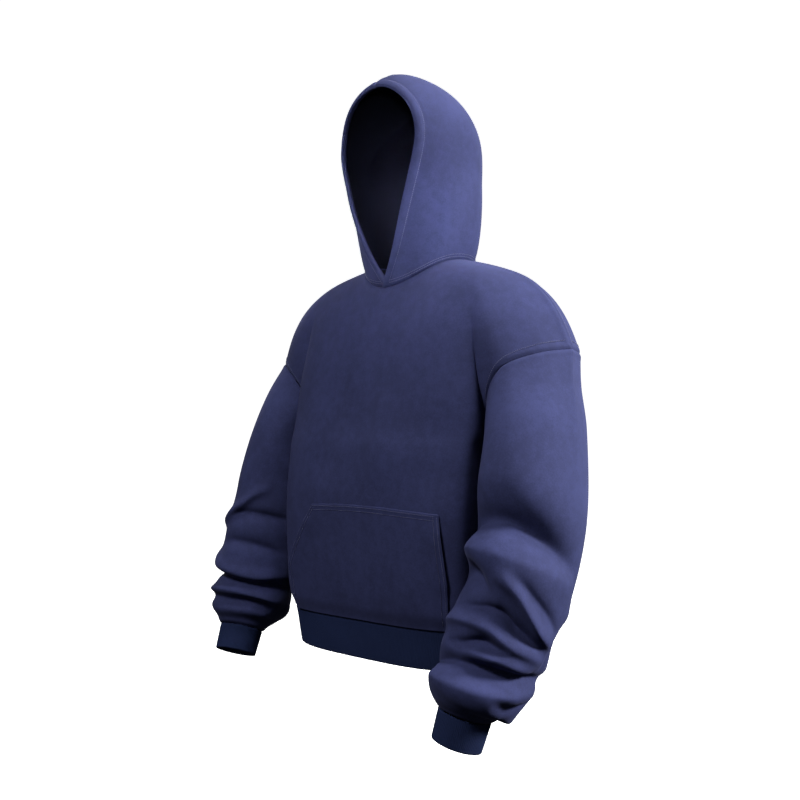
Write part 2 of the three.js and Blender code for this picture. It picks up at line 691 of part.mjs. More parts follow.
function hoodie() {
  const group = new THREE.Group();
  group.name = 'hoodie';
  for (const piece of allPieces()) {
    if (piece.seams.length) drawBack(piece);
    const material = new THREE.MeshStandardMaterial({ color: piece.colour, roughness: 0.9 });
    const mesh = new THREE.Mesh(wallGeometry(piece), material);
    mesh.name = piece.name;
    group.add(mesh);
  }
  return group;
}

export default hoodie();
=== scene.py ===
"""Navy fleece pullover hoodie, filled out as if worn, hood up, with nobody inside.

Cloth pieces are surfaces of two parameters, worked out with numpy in millimetres and
given a wall. +X is the wearer's left, -Y the front, +Z up, and the origin is the neck.
"""

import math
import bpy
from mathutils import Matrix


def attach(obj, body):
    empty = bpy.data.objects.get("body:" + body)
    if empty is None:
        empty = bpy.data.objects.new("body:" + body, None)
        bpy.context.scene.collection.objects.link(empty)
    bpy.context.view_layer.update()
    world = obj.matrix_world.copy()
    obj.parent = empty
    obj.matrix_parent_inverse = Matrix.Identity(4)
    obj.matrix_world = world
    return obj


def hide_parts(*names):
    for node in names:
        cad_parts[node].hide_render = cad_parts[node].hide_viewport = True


bl_info = {
    "name": "Fleece Hoodie",
    "version": (1, 0, 0),
    "blender": (4, 5, 0),
    "location": "View3D > Sidebar > Hoodie",
    "description": "Makes a filled-out fleece hoodie with ribbed cuffs and hem, sewn seams and a studio",
    "category": "Add Mesh",
}

from functools import partial

import bpy
import numpy as np
from bpy.props import FloatProperty, FloatVectorProperty, PointerProperty
from mathutils import Vector

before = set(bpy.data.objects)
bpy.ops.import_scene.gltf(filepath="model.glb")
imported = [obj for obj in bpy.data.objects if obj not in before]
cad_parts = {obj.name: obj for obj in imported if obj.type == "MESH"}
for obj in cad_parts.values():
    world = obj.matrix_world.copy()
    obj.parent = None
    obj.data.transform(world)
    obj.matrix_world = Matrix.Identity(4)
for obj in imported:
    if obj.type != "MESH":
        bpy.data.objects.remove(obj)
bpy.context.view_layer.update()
BODY = "root"
MM = 0.001


def columns(names, rows):
    """A table as one array for each named column."""
    return dict(zip(names.split(), np.array(rows, float).T))


FOLD_COLUMNS = "angle at height above below"


def fold(rows, above=0.0, below=0.0):
    """One fold's table. Widths that stay the same along it are given once."""
    return columns(FOLD_COLUMNS, [row if len(row) == 5 else (*row, above, below) for row in rows])


# Hem
HEM_SEAM_Z = -597
HEM_TILT = 0.066
BAND_HEIGHT = 61
SEAM_GAP = 0.3

# Torso and shoulders
ARMPIT_Z = -292
NECK_HALF_WIDTH = 96
SHOULDER_X = 300
RIDGE_SPREAD = 1.1
RIDGE_NECK_Y = 4
RIDGE_SHOULDER_Y = 6
SHOULDER_SLOPE = 0.25
SHOULDER_ROUND = 100
RIGHT_RAISE = 8
RAISE_X = 150
RAISE_REACH = 80
YOKE_RISE = 370
YOKE_LEAN = 8
YOKE_EDGE_LEAVE = (20, 300, 60)
YOKE_EDGE_ARRIVE = (40, 300, -10)
RISE_STEP = 10
FOLD_END = 70
DENT_REACH = 50
RIGHT_DENT = 0.55
NECK_ACROSS = (NECK_HALF_WIDTH / SHOULDER_X) ** (1 / RIDGE_SPREAD)

# Torso sections: half width, side seam, depths and how far an arm presses the side in
TORSO = columns("z width side front back square dent near far", [
    (-658, 226, -16, 140, 122, 3.4, 14, -80, -40),
    (-597, 240, -18, 138, 130, 3.8, 26, -95, -40),
    (-570, 247, -20, 143, 138, 4.2, 40, -105, -40),
    (-500, 249, -22, 147, 144, 4.6, 45, -108, -30),
    (-400, 249, -24, 146, 146, 4.6, 46, -100, -10),
    (-330, 247, -24, 140, 146, 4.6, 46, -90, 20),
    (-307, 245, -24, 136, 145, 4.6, 43, -86, 28),
    (-292, 243, -24, 132, 144, 4.6, 35, -84, 30),
])

# Armhole seams from the armpit up to the shoulder seam
ARMHOLE_FRONT = columns("at x y z", [
    (0, 214, -24, -292),
    (0.2, 214, -64, -272),
    (0.4, 222, -92, -230),
    (0.6, 248, -92, -186),
    (0.8, 284, -50, -165),
    (1, 306, 8, -157),
])
ARMHOLE_BACK = columns("at x y z", [
    (0, 214, -24, -292),
    (0.2, 215, 20, -272),
    (0.4, 224, 58, -230),
    (0.6, 250, 72, -186),
    (0.8, 286, 58, -165),
    (1, 306, 8, -157),
])
RIGHT_OUT = 38
RIGHT_FORWARD = 24
RIGHT_SPAN = (0.4, 0.95)

# Soft upright folds of the torso, placed across the panel between two heights
FRONT_FOLDS = columns("across low high wide depth", [
    (0.14, -400, -190, 0.08, 4),
    (-0.2, -400, -170, 0.08, -4),
    (0.42, -420, -230, 0.09, -5),
    (-0.48, -560, -200, 0.09, -4),
])
BACK_FOLDS = columns("across low high wide depth", [
    (0.12, -590, -230, 0.1, -6),
    (-0.28, -590, -200, 0.11, 6),
    (0.46, -590, -200, 0.1, 7),
    (-0.6, -590, -260, 0.1, -6),
])

FRONT = {"sign": -1, "arrive": 400, "arrive_rise": -20, "depth": "front", "drop": 0.36,
         "armhole": ARMHOLE_FRONT, "folds": FRONT_FOLDS}
BACK = {"sign": 1, "arrive": 330, "arrive_rise": 40, "depth": "back", "drop": 0.2,
        "armhole": ARMHOLE_BACK, "folds": BACK_FOLDS}

# Sleeve folds. Each is a line round the sleeve in degrees, 0 at the front and 90 outside,
# with its height, negative for a valley, and its widths above and below the line.
BACK_OF_SLEEVE = [
    fold([(105, 0.66, 0), (150, 0.65, 6), (200, 0.62, 6), (250, 0.60, 0)], 0.035, 0.03),
    fold([(115, 0.74, 0), (160, 0.71, -7), (205, 0.69, -7), (250, 0.68, 0)], 0.025, 0.02),
    fold([(110, 0.80, 0), (150, 0.79, 7), (200, 0.76, 7), (250, 0.75, 0)], 0.03, 0.02),
    fold([(120, 0.84, 0), (165, 0.84, -8), (210, 0.82, -7), (250, 0.82, 0)], 0.02, 0.016),
    fold([(125, 0.89, 0), (165, 0.89, 7), (210, 0.88, 6), (250, 0.87, 0)], 0.02, 0.03),
]
LEFT_FOLDS = [
    # valley above the broad fullness of the upper sleeve
    fold([(-75, 0.50, 0, 0.09, 0.03), (-30, 0.485, -24, 0.085, 0.03), (15, 0.485, -31, 0.085, 0.03),
          (50, 0.50, -30, 0.08, 0.03), (78, 0.52, -20, 0.07, 0.03), (98, 0.535, -9, 0.055, 0.03),
          (125, 0.55, 0, 0.05, 0.03)]),
    fold([(-75, 0.555, 0, 0.03, 0.07), (-40, 0.555, 6, 0.03, 0.07), (0, 0.555, 8, 0.03, 0.08),
          (40, 0.565, 8, 0.03, 0.10), (87, 0.58, 5, 0.03, 0.12), (120, 0.59, 0, 0.03, 0.12)]),
    # hollow at the front of the elbow
    fold([(-75, 0.64, 0, 0.06, 0.06), (-40, 0.64, -22, 0.06, 0.06), (-5, 0.655, -22, 0.055, 0.05),
          (28, 0.69, 0, 0.05, 0.04)]),
    fold([(35, 0.60, 0), (49, 0.621, -4), (67, 0.654, -5), (105, 0.704, -4),
          (120, 0.71, 0)], 0.02, 0.02),
    fold([(18, 0.615, 0, 0.03, 0.02), (31, 0.625, 6, 0.03, 0.02), (45, 0.646, 9, 0.03, 0.02),
          (61, 0.688, 12, 0.03, 0.02), (78, 0.725, 11, 0.03, 0.018), (99, 0.742, 6, 0.03, 0.016),
          (118, 0.75, 0, 0.03, 0.016)]),
    fold([(-30, 0.74, 0, 0.018, 0.018), (0, 0.733, -9, 0.018, 0.018), (34, 0.721, -13, 0.02, 0.018),
          (57, 0.746, -14, 0.02, 0.018), (82, 0.762, -8, 0.018, 0.018), (105, 0.775, 0, 0.018, 0.018)]),
    fold([(-60, 0.78, 0, 0.025, 0.022), (-43, 0.779, 6, 0.025, 0.022), (10, 0.762, 9, 0.025, 0.022),
          (30, 0.767, 9, 0.025, 0.022), (47, 0.783, 9, 0.025, 0.02), (88, 0.783, 7, 0.025, 0.02),
          (112, 0.79, 0, 0.025, 0.02)]),
    fold([(-25, 0.84, 0, 0.02, 0.016), (1, 0.835, -10, 0.02, 0.016), (24, 0.815, -14, 0.02, 0.016),
          (41, 0.812, -9, 0.02, 0.015), (58, 0.81, 0, 0.02, 0.015)]),
    fold([(5, 0.845, 0), (22, 0.842, 5), (41, 0.834, 8), (50, 0.829, 8), (75, 0.826, 7),
          (100, 0.82, 0)], 0.018, 0.018),
    # deep valley above the lowest roll
    fold([(-70, 0.91, 0, 0.028, 0.016), (-25, 0.895, -17, 0.03, 0.016), (10, 0.885, -18, 0.03, 0.015),
          (43, 0.872, -18, 0.026, 0.014), (75, 0.856, -14, 0.02, 0.014), (116, 0.835, -8, 0.018, 0.014),
          (140, 0.83, 0, 0.018, 0.014)]),
    fold([(-70, 0.955, 0, 0.012, 0.04), (-42, 0.945, 6, 0.012, 0.04), (4, 0.923, 10, 0.013, 0.05),
          (43, 0.905, 12, 0.013, 0.06), (78, 0.884, 12, 0.012, 0.06), (103, 0.862, 9, 0.012, 0.06),
          (130, 0.84, 5, 0.012, 0.05), (150, 0.83, 0, 0.012, 0.05)]),
    fold([(62, 0.908, 0), (75, 0.908, -5), (89, 0.908, -7), (109, 0.89, -5),
          (125, 0.88, 0)], 0.012, 0.014),
    fold([(90, 0.955, 0), (117, 0.955, 6), (145, 0.95, 0)], 0.03, 0.03),
    *BACK_OF_SLEEVE,
]
RIGHT_FOLDS = [
    fold([(-50, 0.42, 0), (-30, 0.458, 6), (-9, 0.529, 8), (26, 0.596, 8), (60, 0.62, 6),
          (90, 0.64, 0)], 0.035, 0.03),
    fold([(-95, 0.55, 0), (-65, 0.558, -8), (-30, 0.565, -9), (1, 0.579, -6),
          (15, 0.60, 0)], 0.03, 0.03),
    fold([(-95, 0.70, 0), (-65, 0.70, -8), (-20, 0.70, -9), (9, 0.704, -5),
          (35, 0.70, 0)], 0.035, 0.03),
    fold([(-115, 0.77, 0, 0.03, 0.02), (-89, 0.783, 5, 0.03, 0.02), (-56, 0.821, 8, 0.03, 0.02),
          (-32, 0.825, 8, 0.03, 0.02), (15, 0.80, 9, 0.03, 0.022), (44, 0.745, 8, 0.03, 0.025),
          (75, 0.73, 5, 0.03, 0.025), (100, 0.72, 0, 0.03, 0.025)]),
    fold([(-130, 0.81, 0, 0.018, 0.018), (-109, 0.821, -6, 0.018, 0.018),
          (-27, 0.858, -13, 0.02, 0.018), (20, 0.84, -14, 0.02, 0.018), (50, 0.815, -14, 0.018, 0.018),
          (80, 0.80, -8, 0.018, 0.018), (110, 0.79, 0, 0.018, 0.018)]),
    fold([(-120, 0.87, 0), (-97, 0.879, 6), (-48, 0.90, 9), (5, 0.904, 9), (50, 0.88, 9),
          (85, 0.865, 6), (115, 0.86, 0)], 0.02, 0.02),
    fold([(-100, 0.91, 0), (-75, 0.912, -6), (-21, 0.933, -8), (20, 0.925, -4),
          (45, 0.92, 0)], 0.014, 0.014),
    fold([(-110, 0.94, 0), (-85, 0.946, 6), (-2, 0.958, 7), (40, 0.94, 7), (80, 0.93, 5),
          (110, 0.93, 0)], 0.018, 0.02),
    *BACK_OF_SLEEVE,
]

# Sleeves: centre line and half widths of the section, from the armhole to the cuff
ARM_COLUMNS = "at x y z across deep"
LEFT = {
    "side": 1,
    "arm": columns(ARM_COLUMNS, [
        (0, 262, -10, -224, 48, 84),
        (0.1, 273, -31, -268, 53, 87),
        (0.2, 286, -51, -312, 63, 92),
        (0.37, 294, -76, -388, 71, 100),
        (0.57, 295, -105, -479, 73, 94),
        (0.76, 288, -141, -565, 71, 78),
        (0.9, 277, -176, -632, 63, 74),
        (0.965, 269, -187, -656, 52, 59),
        (1, 266, -192, -674, 38, 38),
    ]),
    "folds": LEFT_FOLDS,
}
RIGHT = {
    "side": -1,
    "arm": columns(ARM_COLUMNS, [
        (0, 286, -34, -224, 50, 86),
        (0.12, 297, -58, -278, 57, 92),
        (0.24, 300, -74, -333, 64, 94),
        (0.46, 300, -92, -429, 67, 94),
        (0.68, 301, -124, -521, 67, 90),
        (0.87, 295, -162, -603, 64, 74),
        (0.95, 290, -182, -636, 52, 57),
        (1, 286, -192, -657, 38, 38),
    ]),
    "folds": RIGHT_FOLDS,
}
LOOP_BLEND = 0.42
FOLD_DROOP = 0.5
ARMPIT_FLARE = 14
FLARE_LENGTH = 0.04
CUFF_LENGTH = 42
CUFF_TAPER = 2

# Hood
HOOD_WIDTH = 115.7
HOOD_DEPTH = 114.5
HOOD_RISE = 169.9
HOOD_MIDDLE_Y = -21.4
HOOD_MIDDLE_Z = 147.2
HOOD_LOW = -40
HOOD_EDGE = -38.8
HOOD_DROOP = 32.4
HOOD_FULL = 0.139
HOOD_FULL_POWER = 1.4
HOOD_LEAN = 47.1
HOOD_BLEND = 0.45

# How far the hood's opening and crown are drawn back: amount, and the height and its reach
HOOD_CHIN = (20.4, 0.3, 0.22)
HOOD_BROW = (2.5, 0.75, 0.25)
HOOD_CROWN = (22, 0.84, 0.17)

# The turned casing round the opening, and its groove along the stitches
CASING = 15
CASING_RISE = 3.2
CASING_GROOVE = 1.1
GROOVE_REACH = 1.5

# Where the hood's front edges cross at the neck, the wearer's left one on top
LAP = 7
LAP_RAISE = 2.2
LAP_HEIGHT = 0.09
LAP_WIDTH = 0.16

# Cloth that turns in under its neighbour at a seam
NECK_TUCK = 0.007
CROWN_TUCK = 0.012
BAND_TUCK = 4
TUCK_DEPTH = 2.6

# Pocket: each side's edge is a share of the way from the centre front to a side seam
POCKET_TOP_Z = -407
POCKET_TOP = (-0.24, 0.435)
POCKET_LOW = (-0.42, 0.475)
POCKET_CORNER = 0.4
POCKET_ARCH = 5
POCKET_LIFT = 3.4
POCKET_MOUTH_LIFT = 4
POCKET_WALL = 2.2
POCKET_TILT_STEP = 0.002


def mix(a, b, t):
    return a + (b - a) * t


def bell(t):
    return np.exp(-t * t)


def ease(low, high, place):
    """Smooth step: 0 below low, 1 above high, and 3t^2 - 2t^3 between."""
    t = np.clip((np.asarray(place, float) - low) / (high - low), 0, 1)
    return t * t * (3 - 2 * t)


def read(table, key, place, name):
    """A column's value at a place: a cubic between the rows, with their mean slopes."""
    keys, values = table[key], table[name]
    last = len(keys) - 1
    row = np.arange(len(keys))
    before, after = np.maximum(row - 1, 0), np.minimum(row + 1, last)
    slope = (values[after] - values[before]) / (keys[after] - keys[before])
    place = np.asarray(place, float)
    i = np.clip(np.searchsorted(keys, place) - 1, 0, last - 1)
    span = keys[i + 1] - keys[i]
    t = np.clip((place - keys[i]) / span, 0, 1)
    bend = span * t * (1 - t) * (slope[i] * (1 - t) - slope[i + 1] * t)
    return mix(values[i], values[i + 1], t * t * (3 - 2 * t)) + bend


def points(x, y, z):
    return np.stack(np.broadcast_arrays(x, y, z), axis=-1).astype(float)


def read_points(table, place):
    return points(*(read(table, "at", place, name) for name in "xyz"))


def torso_point(face, across, z):
    """A rounded square section, pressed in beside the arms. across is -1 to 1."""
    def sized(name):
        return read(TORSO, "z", z, name)

    turn = np.pi / 2 * np.abs(across)
    s, c = np.abs(np.sin(turn)), np.abs(np.cos(turn))
    square = sized("square")
    scale = (s ** square + c ** square) ** (-1 / square)
    y = sized("side") + face["sign"] * sized(face["depth"]) * scale * c
    press = sized("dent") * np.where(across < 0, mix(RIGHT_DENT, 1, ease(-440, -330, z)), 1)
    away = np.maximum(0, np.maximum(sized("near") - y, y - sized("far")))
    dent = press * bell(away / DENT_REACH) * s * s
    return points(np.sign(across) * (sized("width") * scale * s - dent), y, z)


def ridge_point(across):
    """The shoulder line: a straight slope that rounds off at the end, crowned at the neck."""
    x = SHOULDER_X * np.abs(across) ** RIDGE_SPREAD
    out = np.maximum(0, x - NECK_HALF_WIDTH)
    past = out / (SHOULDER_X - NECK_HALF_WIDTH)
    inside = SHOULDER_SLOPE * NECK_HALF_WIDTH / 2
    crown = inside * (1 - np.minimum(1, x / NECK_HALF_WIDTH) ** 2)
    raised = RIGHT_RAISE * bell((x - RAISE_X) / RAISE_REACH) * ease(0, NECK_HALF_WIDTH, x)
    z = crown - SHOULDER_SLOPE * out - SHOULDER_ROUND * past ** 5 + raised * (across < 0)
    return points(np.sign(across) * x, mix(RIDGE_NECK_Y, RIDGE_SHOULDER_Y, past), z)


def armhole_point(face, side, up):
    """The armhole seam. side is 1 or -1, and up runs from the armpit to the shoulder."""
    point = read_points(face["armhole"], up)
    start = torso_point(face, np.array(1.0), ARMPIT_Z) - read_points(face["armhole"], 0)
    point = point + start * (1 - ease(0, 0.3, up))[..., None]
    share = np.where(side < 0, ease(*RIGHT_SPAN, up), 0)
    x = np.where(side < 0, -point[..., 0] - RIGHT_OUT * share, point[..., 0])
    return points(x, point[..., 1] - RIGHT_FORWARD * share, point[..., 2])


def yoke_plain(face, across, up):
    """A cubic that leaves the torso upward and arrives level on the shoulder line."""
    start = torso_point(face, across, ARMPIT_Z)
    end = ridge_point(across)
    edge = ease(0.55, 1, np.abs(across))
    side = np.sign(across)
    rise = (start - torso_point(face, across, ARMPIT_Z - RISE_STEP)) * (YOKE_RISE / RISE_STEP)
    rise[..., 0] = mix(rise[..., 0], side * YOKE_LEAN, ease(0.3, 0.6, np.abs(across)))
    out, ahead, lift = YOKE_EDGE_LEAVE
    leave = mix(rise, points(side * out, face["sign"] * ahead, lift), edge[..., None])
    out, ahead, lift = YOKE_EDGE_ARRIVE
    forward = -face["sign"] * mix(face["arrive"], ahead, edge)
    arrive = points(side * mix(0, out, edge), forward, mix(face["arrive_rise"], lift, edge))
    t = np.asarray(up, float)[..., None]
    keep, reach = 2 * t ** 3 - 3 * t ** 2 + 1, 3 * t ** 2 - 2 * t ** 3
    return start * keep + leave * (t ** 3 - 2 * t ** 2 + t) + end * reach + arrive * (t ** 3 - t ** 2)


def yoke_point(face, across, up):
    """The cubic, shifted near its sides so that it ends on the armhole seam."""
    side = np.where(across < 0, -1.0, 1.0)
    shift = armhole_point(face, side, up) - yoke_plain(face, side, up)
    return yoke_plain(face, across, up) + shift * ease(0.45, 1, np.abs(across))[..., None]


def neck_up(face, across):
    """Height of the neck edge: a quarter ellipse down from each shoulder line."""
    t = np.clip(np.abs(across) / NECK_ACROSS, 0, 1)
    return 1 - face["drop"] * np.sqrt(np.maximum(0, 1 - t * t))


def fold_depth(face, across, z):
    """The sum of bells across the panel, each faded out at the ends of its height."""
    depth = 0
    for place, low, high, wide, deep in zip(*face["folds"].values()):
        along = ease(low, low + FOLD_END, z) * (1 - ease(high - FOLD_END, high, z))
        depth = depth + deep * along * bell((across - place) / wide)
    return depth


def body_point(face, across, v):
    """A body panel: v is 0 to 1 from hem seam to armpits and 1 to 2 up to the neck edge."""
    across, v = np.broadcast_arrays(np.asarray(across, float), np.asarray(v, float))
    share = np.clip(v, 0, 1)
    low = torso_point(face, across, mix(HEM_SEAM_Z, ARMPIT_Z, share))
    low[..., 2] += HEM_TILT * low[..., 0] * (1 - ease(0, 1, share))
    high = yoke_point(face, across, np.clip(v - 1, 0, 1) * neck_up(face, across))
    point = np.where((v <= 1)[..., None], low, high)
    flat_z = np.where(v <= 1, mix(HEM_SEAM_Z, ARMPIT_Z, share), high[..., 2])
    point[..., 1] += face["sign"] * fold_depth(face, across, flat_z)
    return point


def unit(vectors):
    return vectors / np.maximum(np.linalg.norm(vectors, axis=-1, keepdims=True), 1e-12)


def dot(a, b):
    return (a * b).sum(axis=-1, keepdims=True)


def sleeve_frame(limb, at):
    """Centre, along, outward and forward directions of a sleeve's section."""
    flip = np.array([limb["side"], 1, 1])
    centre = read_points(limb["arm"], at) * flip
    ahead = read_points(limb["arm"], np.minimum(1, at + 0.01)) * flip
    behind = read_points(limb["arm"], np.maximum(0, at - 0.01)) * flip
    along = unit(ahead - behind)
    side = points(limb["side"], 0, 0)
    outward = unit(side - along * dot(side, along))
    front = points(0, -1, 0)
    forward = front - along * dot(front, along)
    forward = unit(forward - outward * dot(forward, outward))
    return centre, along, outward, forward


def sleeve_plain(limb, at, angle):
    centre, _, outward, forward = sleeve_frame(limb, at)
    across = read(limb["arm"], "at", at, "across")
    deep = read(limb["arm"], "at", at, "deep")
    return (centre + forward * (deep * np.cos(angle))[..., None]
            + outward * (across * np.sin(angle))[..., None])


def loop_point(side, angle):
    """The armhole loop: -90 degrees at the armpit, round by the front, 90 at the shoulder."""
    turn = (angle + np.pi / 2) / np.pi
    front = armhole_point(FRONT, side, np.clip(turn, 0, 1))
    back = armhole_point(BACK, side, np.clip(2 - turn, 0, 1))
    return np.where((turn <= 1)[..., None], front, back)


def sleeve_fold(folds, at, angle):
    """The sum of the folds: rounded ridges, and valleys that narrow to a crease."""
    height = 0
    for fold in folds:
        middle = (fold["angle"][0] + fold["angle"][-1]) / 2
        turn = (np.degrees(angle) - middle + 180) % 360 - 180 + middle
        line, high, above, below = (read(fold, "angle", turn, name) for name in FOLD_COLUMNS.split()[1:])
        away = (at - line) / np.where(at < line, above, below)
        crease = np.exp(-1.2 * (np.sqrt(away * away + 0.09) - 0.3))
        height = height + high * np.where(fold["height"].min() < 0, crease * bell(away / 2), bell(away))
    return height


def sleeve_point(limb, at, angle):
    """A section swept down the arm, drawn to the armhole at its top, with its folds."""
    at, angle = np.broadcast_arrays(np.asarray(at, float), np.asarray(angle, float))
    _, along, outward, forward = sleeve_frame(limb, at)
    shift = loop_point(limb["side"], angle) - sleeve_plain(limb, np.zeros_like(at), angle)
    under = np.maximum(0, -np.sin(angle)) ** 2
    flare = ARMPIT_FLARE * under * (1 - bell(at / FLARE_LENGTH)) * (1 - ease(FLARE_LENGTH, 0.3, at))
    height = sleeve_fold(limb["folds"], at, angle) * ease(0, 0.2, at) * (1 - ease(0.955, 1, at))
    radial = forward * np.cos(angle)[..., None] + outward * np.sin(angle)[..., None]
    point = sleeve_plain(limb, at, angle) + shift * (1 - ease(0, LOOP_BLEND, at))[..., None]
    return point + outward * flare[..., None] + (radial + along * FOLD_DROOP) * height[..., None]


def neck_point(side, back):
    """The neck seam: back is 0 at the centre front, 0.5 at the shoulder and 1 behind."""
    share = np.where(back <= 0.5, 2 * back, 2 - 2 * back)
    across = side * NECK_ACROSS * np.sin(share * np.pi / 2)
    front = body_point(FRONT, across, np.full_like(across, 2.0))
    rear = body_point(BACK, across, np.full_like(across, 2.0))
    return np.where((back <= 0.5)[..., None], front, rear)


def hump(up, amount, place, reach):
    return amount * bell((up - place) / reach)


def hood_plain(side, back, up):
    """Part of an ellipsoid, fuller and further forward above its widest height."""
    tilt = np.radians(mix(HOOD_LOW, 90, up))
    turn = np.radians(mix(HOOD_EDGE, 90, back))
    full = 1 + HOOD_FULL * np.maximum(0, np.sin(2 * tilt)) ** HOOD_FULL_POWER
    above = np.maximum(0, np.sin(tilt)) ** 2
    x = HOOD_WIDTH * full * np.cos(tilt) * np.cos(turn)
    y = np.sin(turn) * np.sqrt(1 - np.sin(tilt) ** 2 / 2)
    z = np.sin(tilt) * np.sqrt(1 - np.sin(turn) ** 2 / 2)
    droop = HOOD_DROOP * np.minimum(0, np.sin(turn)) ** 2 * above
    rim = hump(up, *HOOD_CHIN) + hump(up, *HOOD_BROW)
    crown = hump(up, *HOOD_CROWN) * ease(0.2, 0.6, back)
    ahead = HOOD_MIDDLE_Y + HOOD_DEPTH * full * y - HOOD_LEAN * above - rim * (1 - back) ** 2
    return points(side * x, ahead + crown, HOOD_MIDDLE_Z + HOOD_RISE * z - droop)


def hood_point(side, back, up):
    """The hood half, drawn to the neck seam at its lower edge."""
    back, up = np.broadcast_arrays(np.asarray(back, float), np.asarray(up, float))
    shift = neck_point(side, back) - hood_plain(side, back, np.zeros_like(up))
    point = hood_plain(side, back, up) + shift * (1 - ease(0, HOOD_BLEND, up))[..., None]
    lap = bell(up / LAP_HEIGHT) * (1 - ease(0, LAP_WIDTH, back))
    point[..., 0] -= side * LAP * lap
    point[..., 1] -= np.where(side > 0, LAP_RAISE, -LAP_RAISE) * lap
    return point


def band_point(turn, drop):
    """The torso's own section, carried down from the hem seam. turn is 0 to 1 around."""
    turn, drop = np.broadcast_arrays(np.asarray(turn, float), np.asarray(drop, float))
    front = torso_point(FRONT, np.clip(4 * turn - 1, -1, 1), HEM_SEAM_Z - drop)
    back = torso_point(BACK, np.clip(3 - 4 * turn, -1, 1), HEM_SEAM_Z - drop)
    point = np.where((turn < 0.5)[..., None], front, back)
    point[..., 2] = HEM_SEAM_Z - drop + HEM_TILT * point[..., 0]
    return point


def cuff_point(limb, angle, drop):
    """A slightly tapered tube on the sleeve's last section."""
    centre, along, outward, forward = sleeve_frame(limb, np.array(1.0))
    size = read(limb["arm"], "at", 1.0, "across") - CUFF_TAPER * drop / CUFF_LENGTH
    return (centre + along * np.asarray(drop)[..., None]
            + forward * (size * np.cos(angle))[..., None] + outward * (size * np.sin(angle))[..., None])


def pocket_place(share, up):
    """Where a pocket point lies on the front panel: across it and its height."""
    top = POCKET_TOP_Z - POCKET_ARCH * share * share
    low = HEM_SEAM_Z + 2
    z = mix(low, top, up)
    slope = np.clip(((z - low) / (POCKET_TOP_Z - low) - POCKET_CORNER) / (1 - POCKET_CORNER), 0, 1)
    right, left = (mix(a, b, slope) for a, b in zip(POCKET_LOW, POCKET_TOP))
    return mix(right, left, (share + 1) / 2), (z - HEM_SEAM_Z) / (ARMPIT_Z - HEM_SEAM_Z)


def pocket_lift(share, up):
    """The pocket stands further off the panel at its two mouths."""
    mouth = bell((1 - np.abs(share)) / 0.2) * ease(0.25, 0.45, up) * (1 - ease(0.8, 1, up))
    return POCKET_LIFT + POCKET_MOUTH_LIFT * mouth


def normals(grid, wrap, flip):
    """Unit cross product of the differences along the rows and the columns."""
    if wrap:
        across = np.roll(grid, -1, axis=1) - np.roll(grid, 1, axis=1)
    else:
        across = np.gradient(grid, axis=1)
    out = unit(np.cross(across, np.gradient(grid, axis=0)))
    return -out if flip else out


def lengths(grid, axis):
    """Running length along one axis of a grid."""
    steps = np.linalg.norm(np.diff(grid, axis=axis), axis=-1)
    start = np.zeros_like(np.take(steps, [0], axis=axis))
    return np.concatenate([start, np.cumsum(steps, axis=axis)], axis=axis)


def edge_distance(grid, edges):
    """Distance along the cloth from the nearest of the named edges."""
    down, over = lengths(grid, 0), lengths(grid, 1)
    far = {"low": down, "high": down[-1:] - down, "start": over, "end": over[:, -1:] - over}
    return np.minimum.reduce([far[edge] for edge in edges])


def seam_dip(distance, depth=1.5, reach=2.6, puff=0.7):
    """Cloth turned down into a seam, with a slight puff beside it."""
    return -depth * bell(distance / reach) + puff * bell((distance - 7) / 4)


CLOSE_STEPS = (0.5, 1, 1.6, 2.4, 3.4, 4.6, 6, 7.6, 9.6)


def near_edges(count, length, low=True, high=True):
    """Even steps from 0 to 1 over a length in millimetres, with closer ones near its ends."""
    close = np.array(CLOSE_STEPS) / length
    parts = [np.linspace(0, 1, count)]
    parts += [close] if low else []
    parts += [1 - close] if high else []
    return np.unique(np.concatenate(parts))


def both_ways(steps):
    """Steps from 0 to 1 mirrored to run from -1 to 1."""
    return np.concatenate([-steps[::-1], steps[1:]])


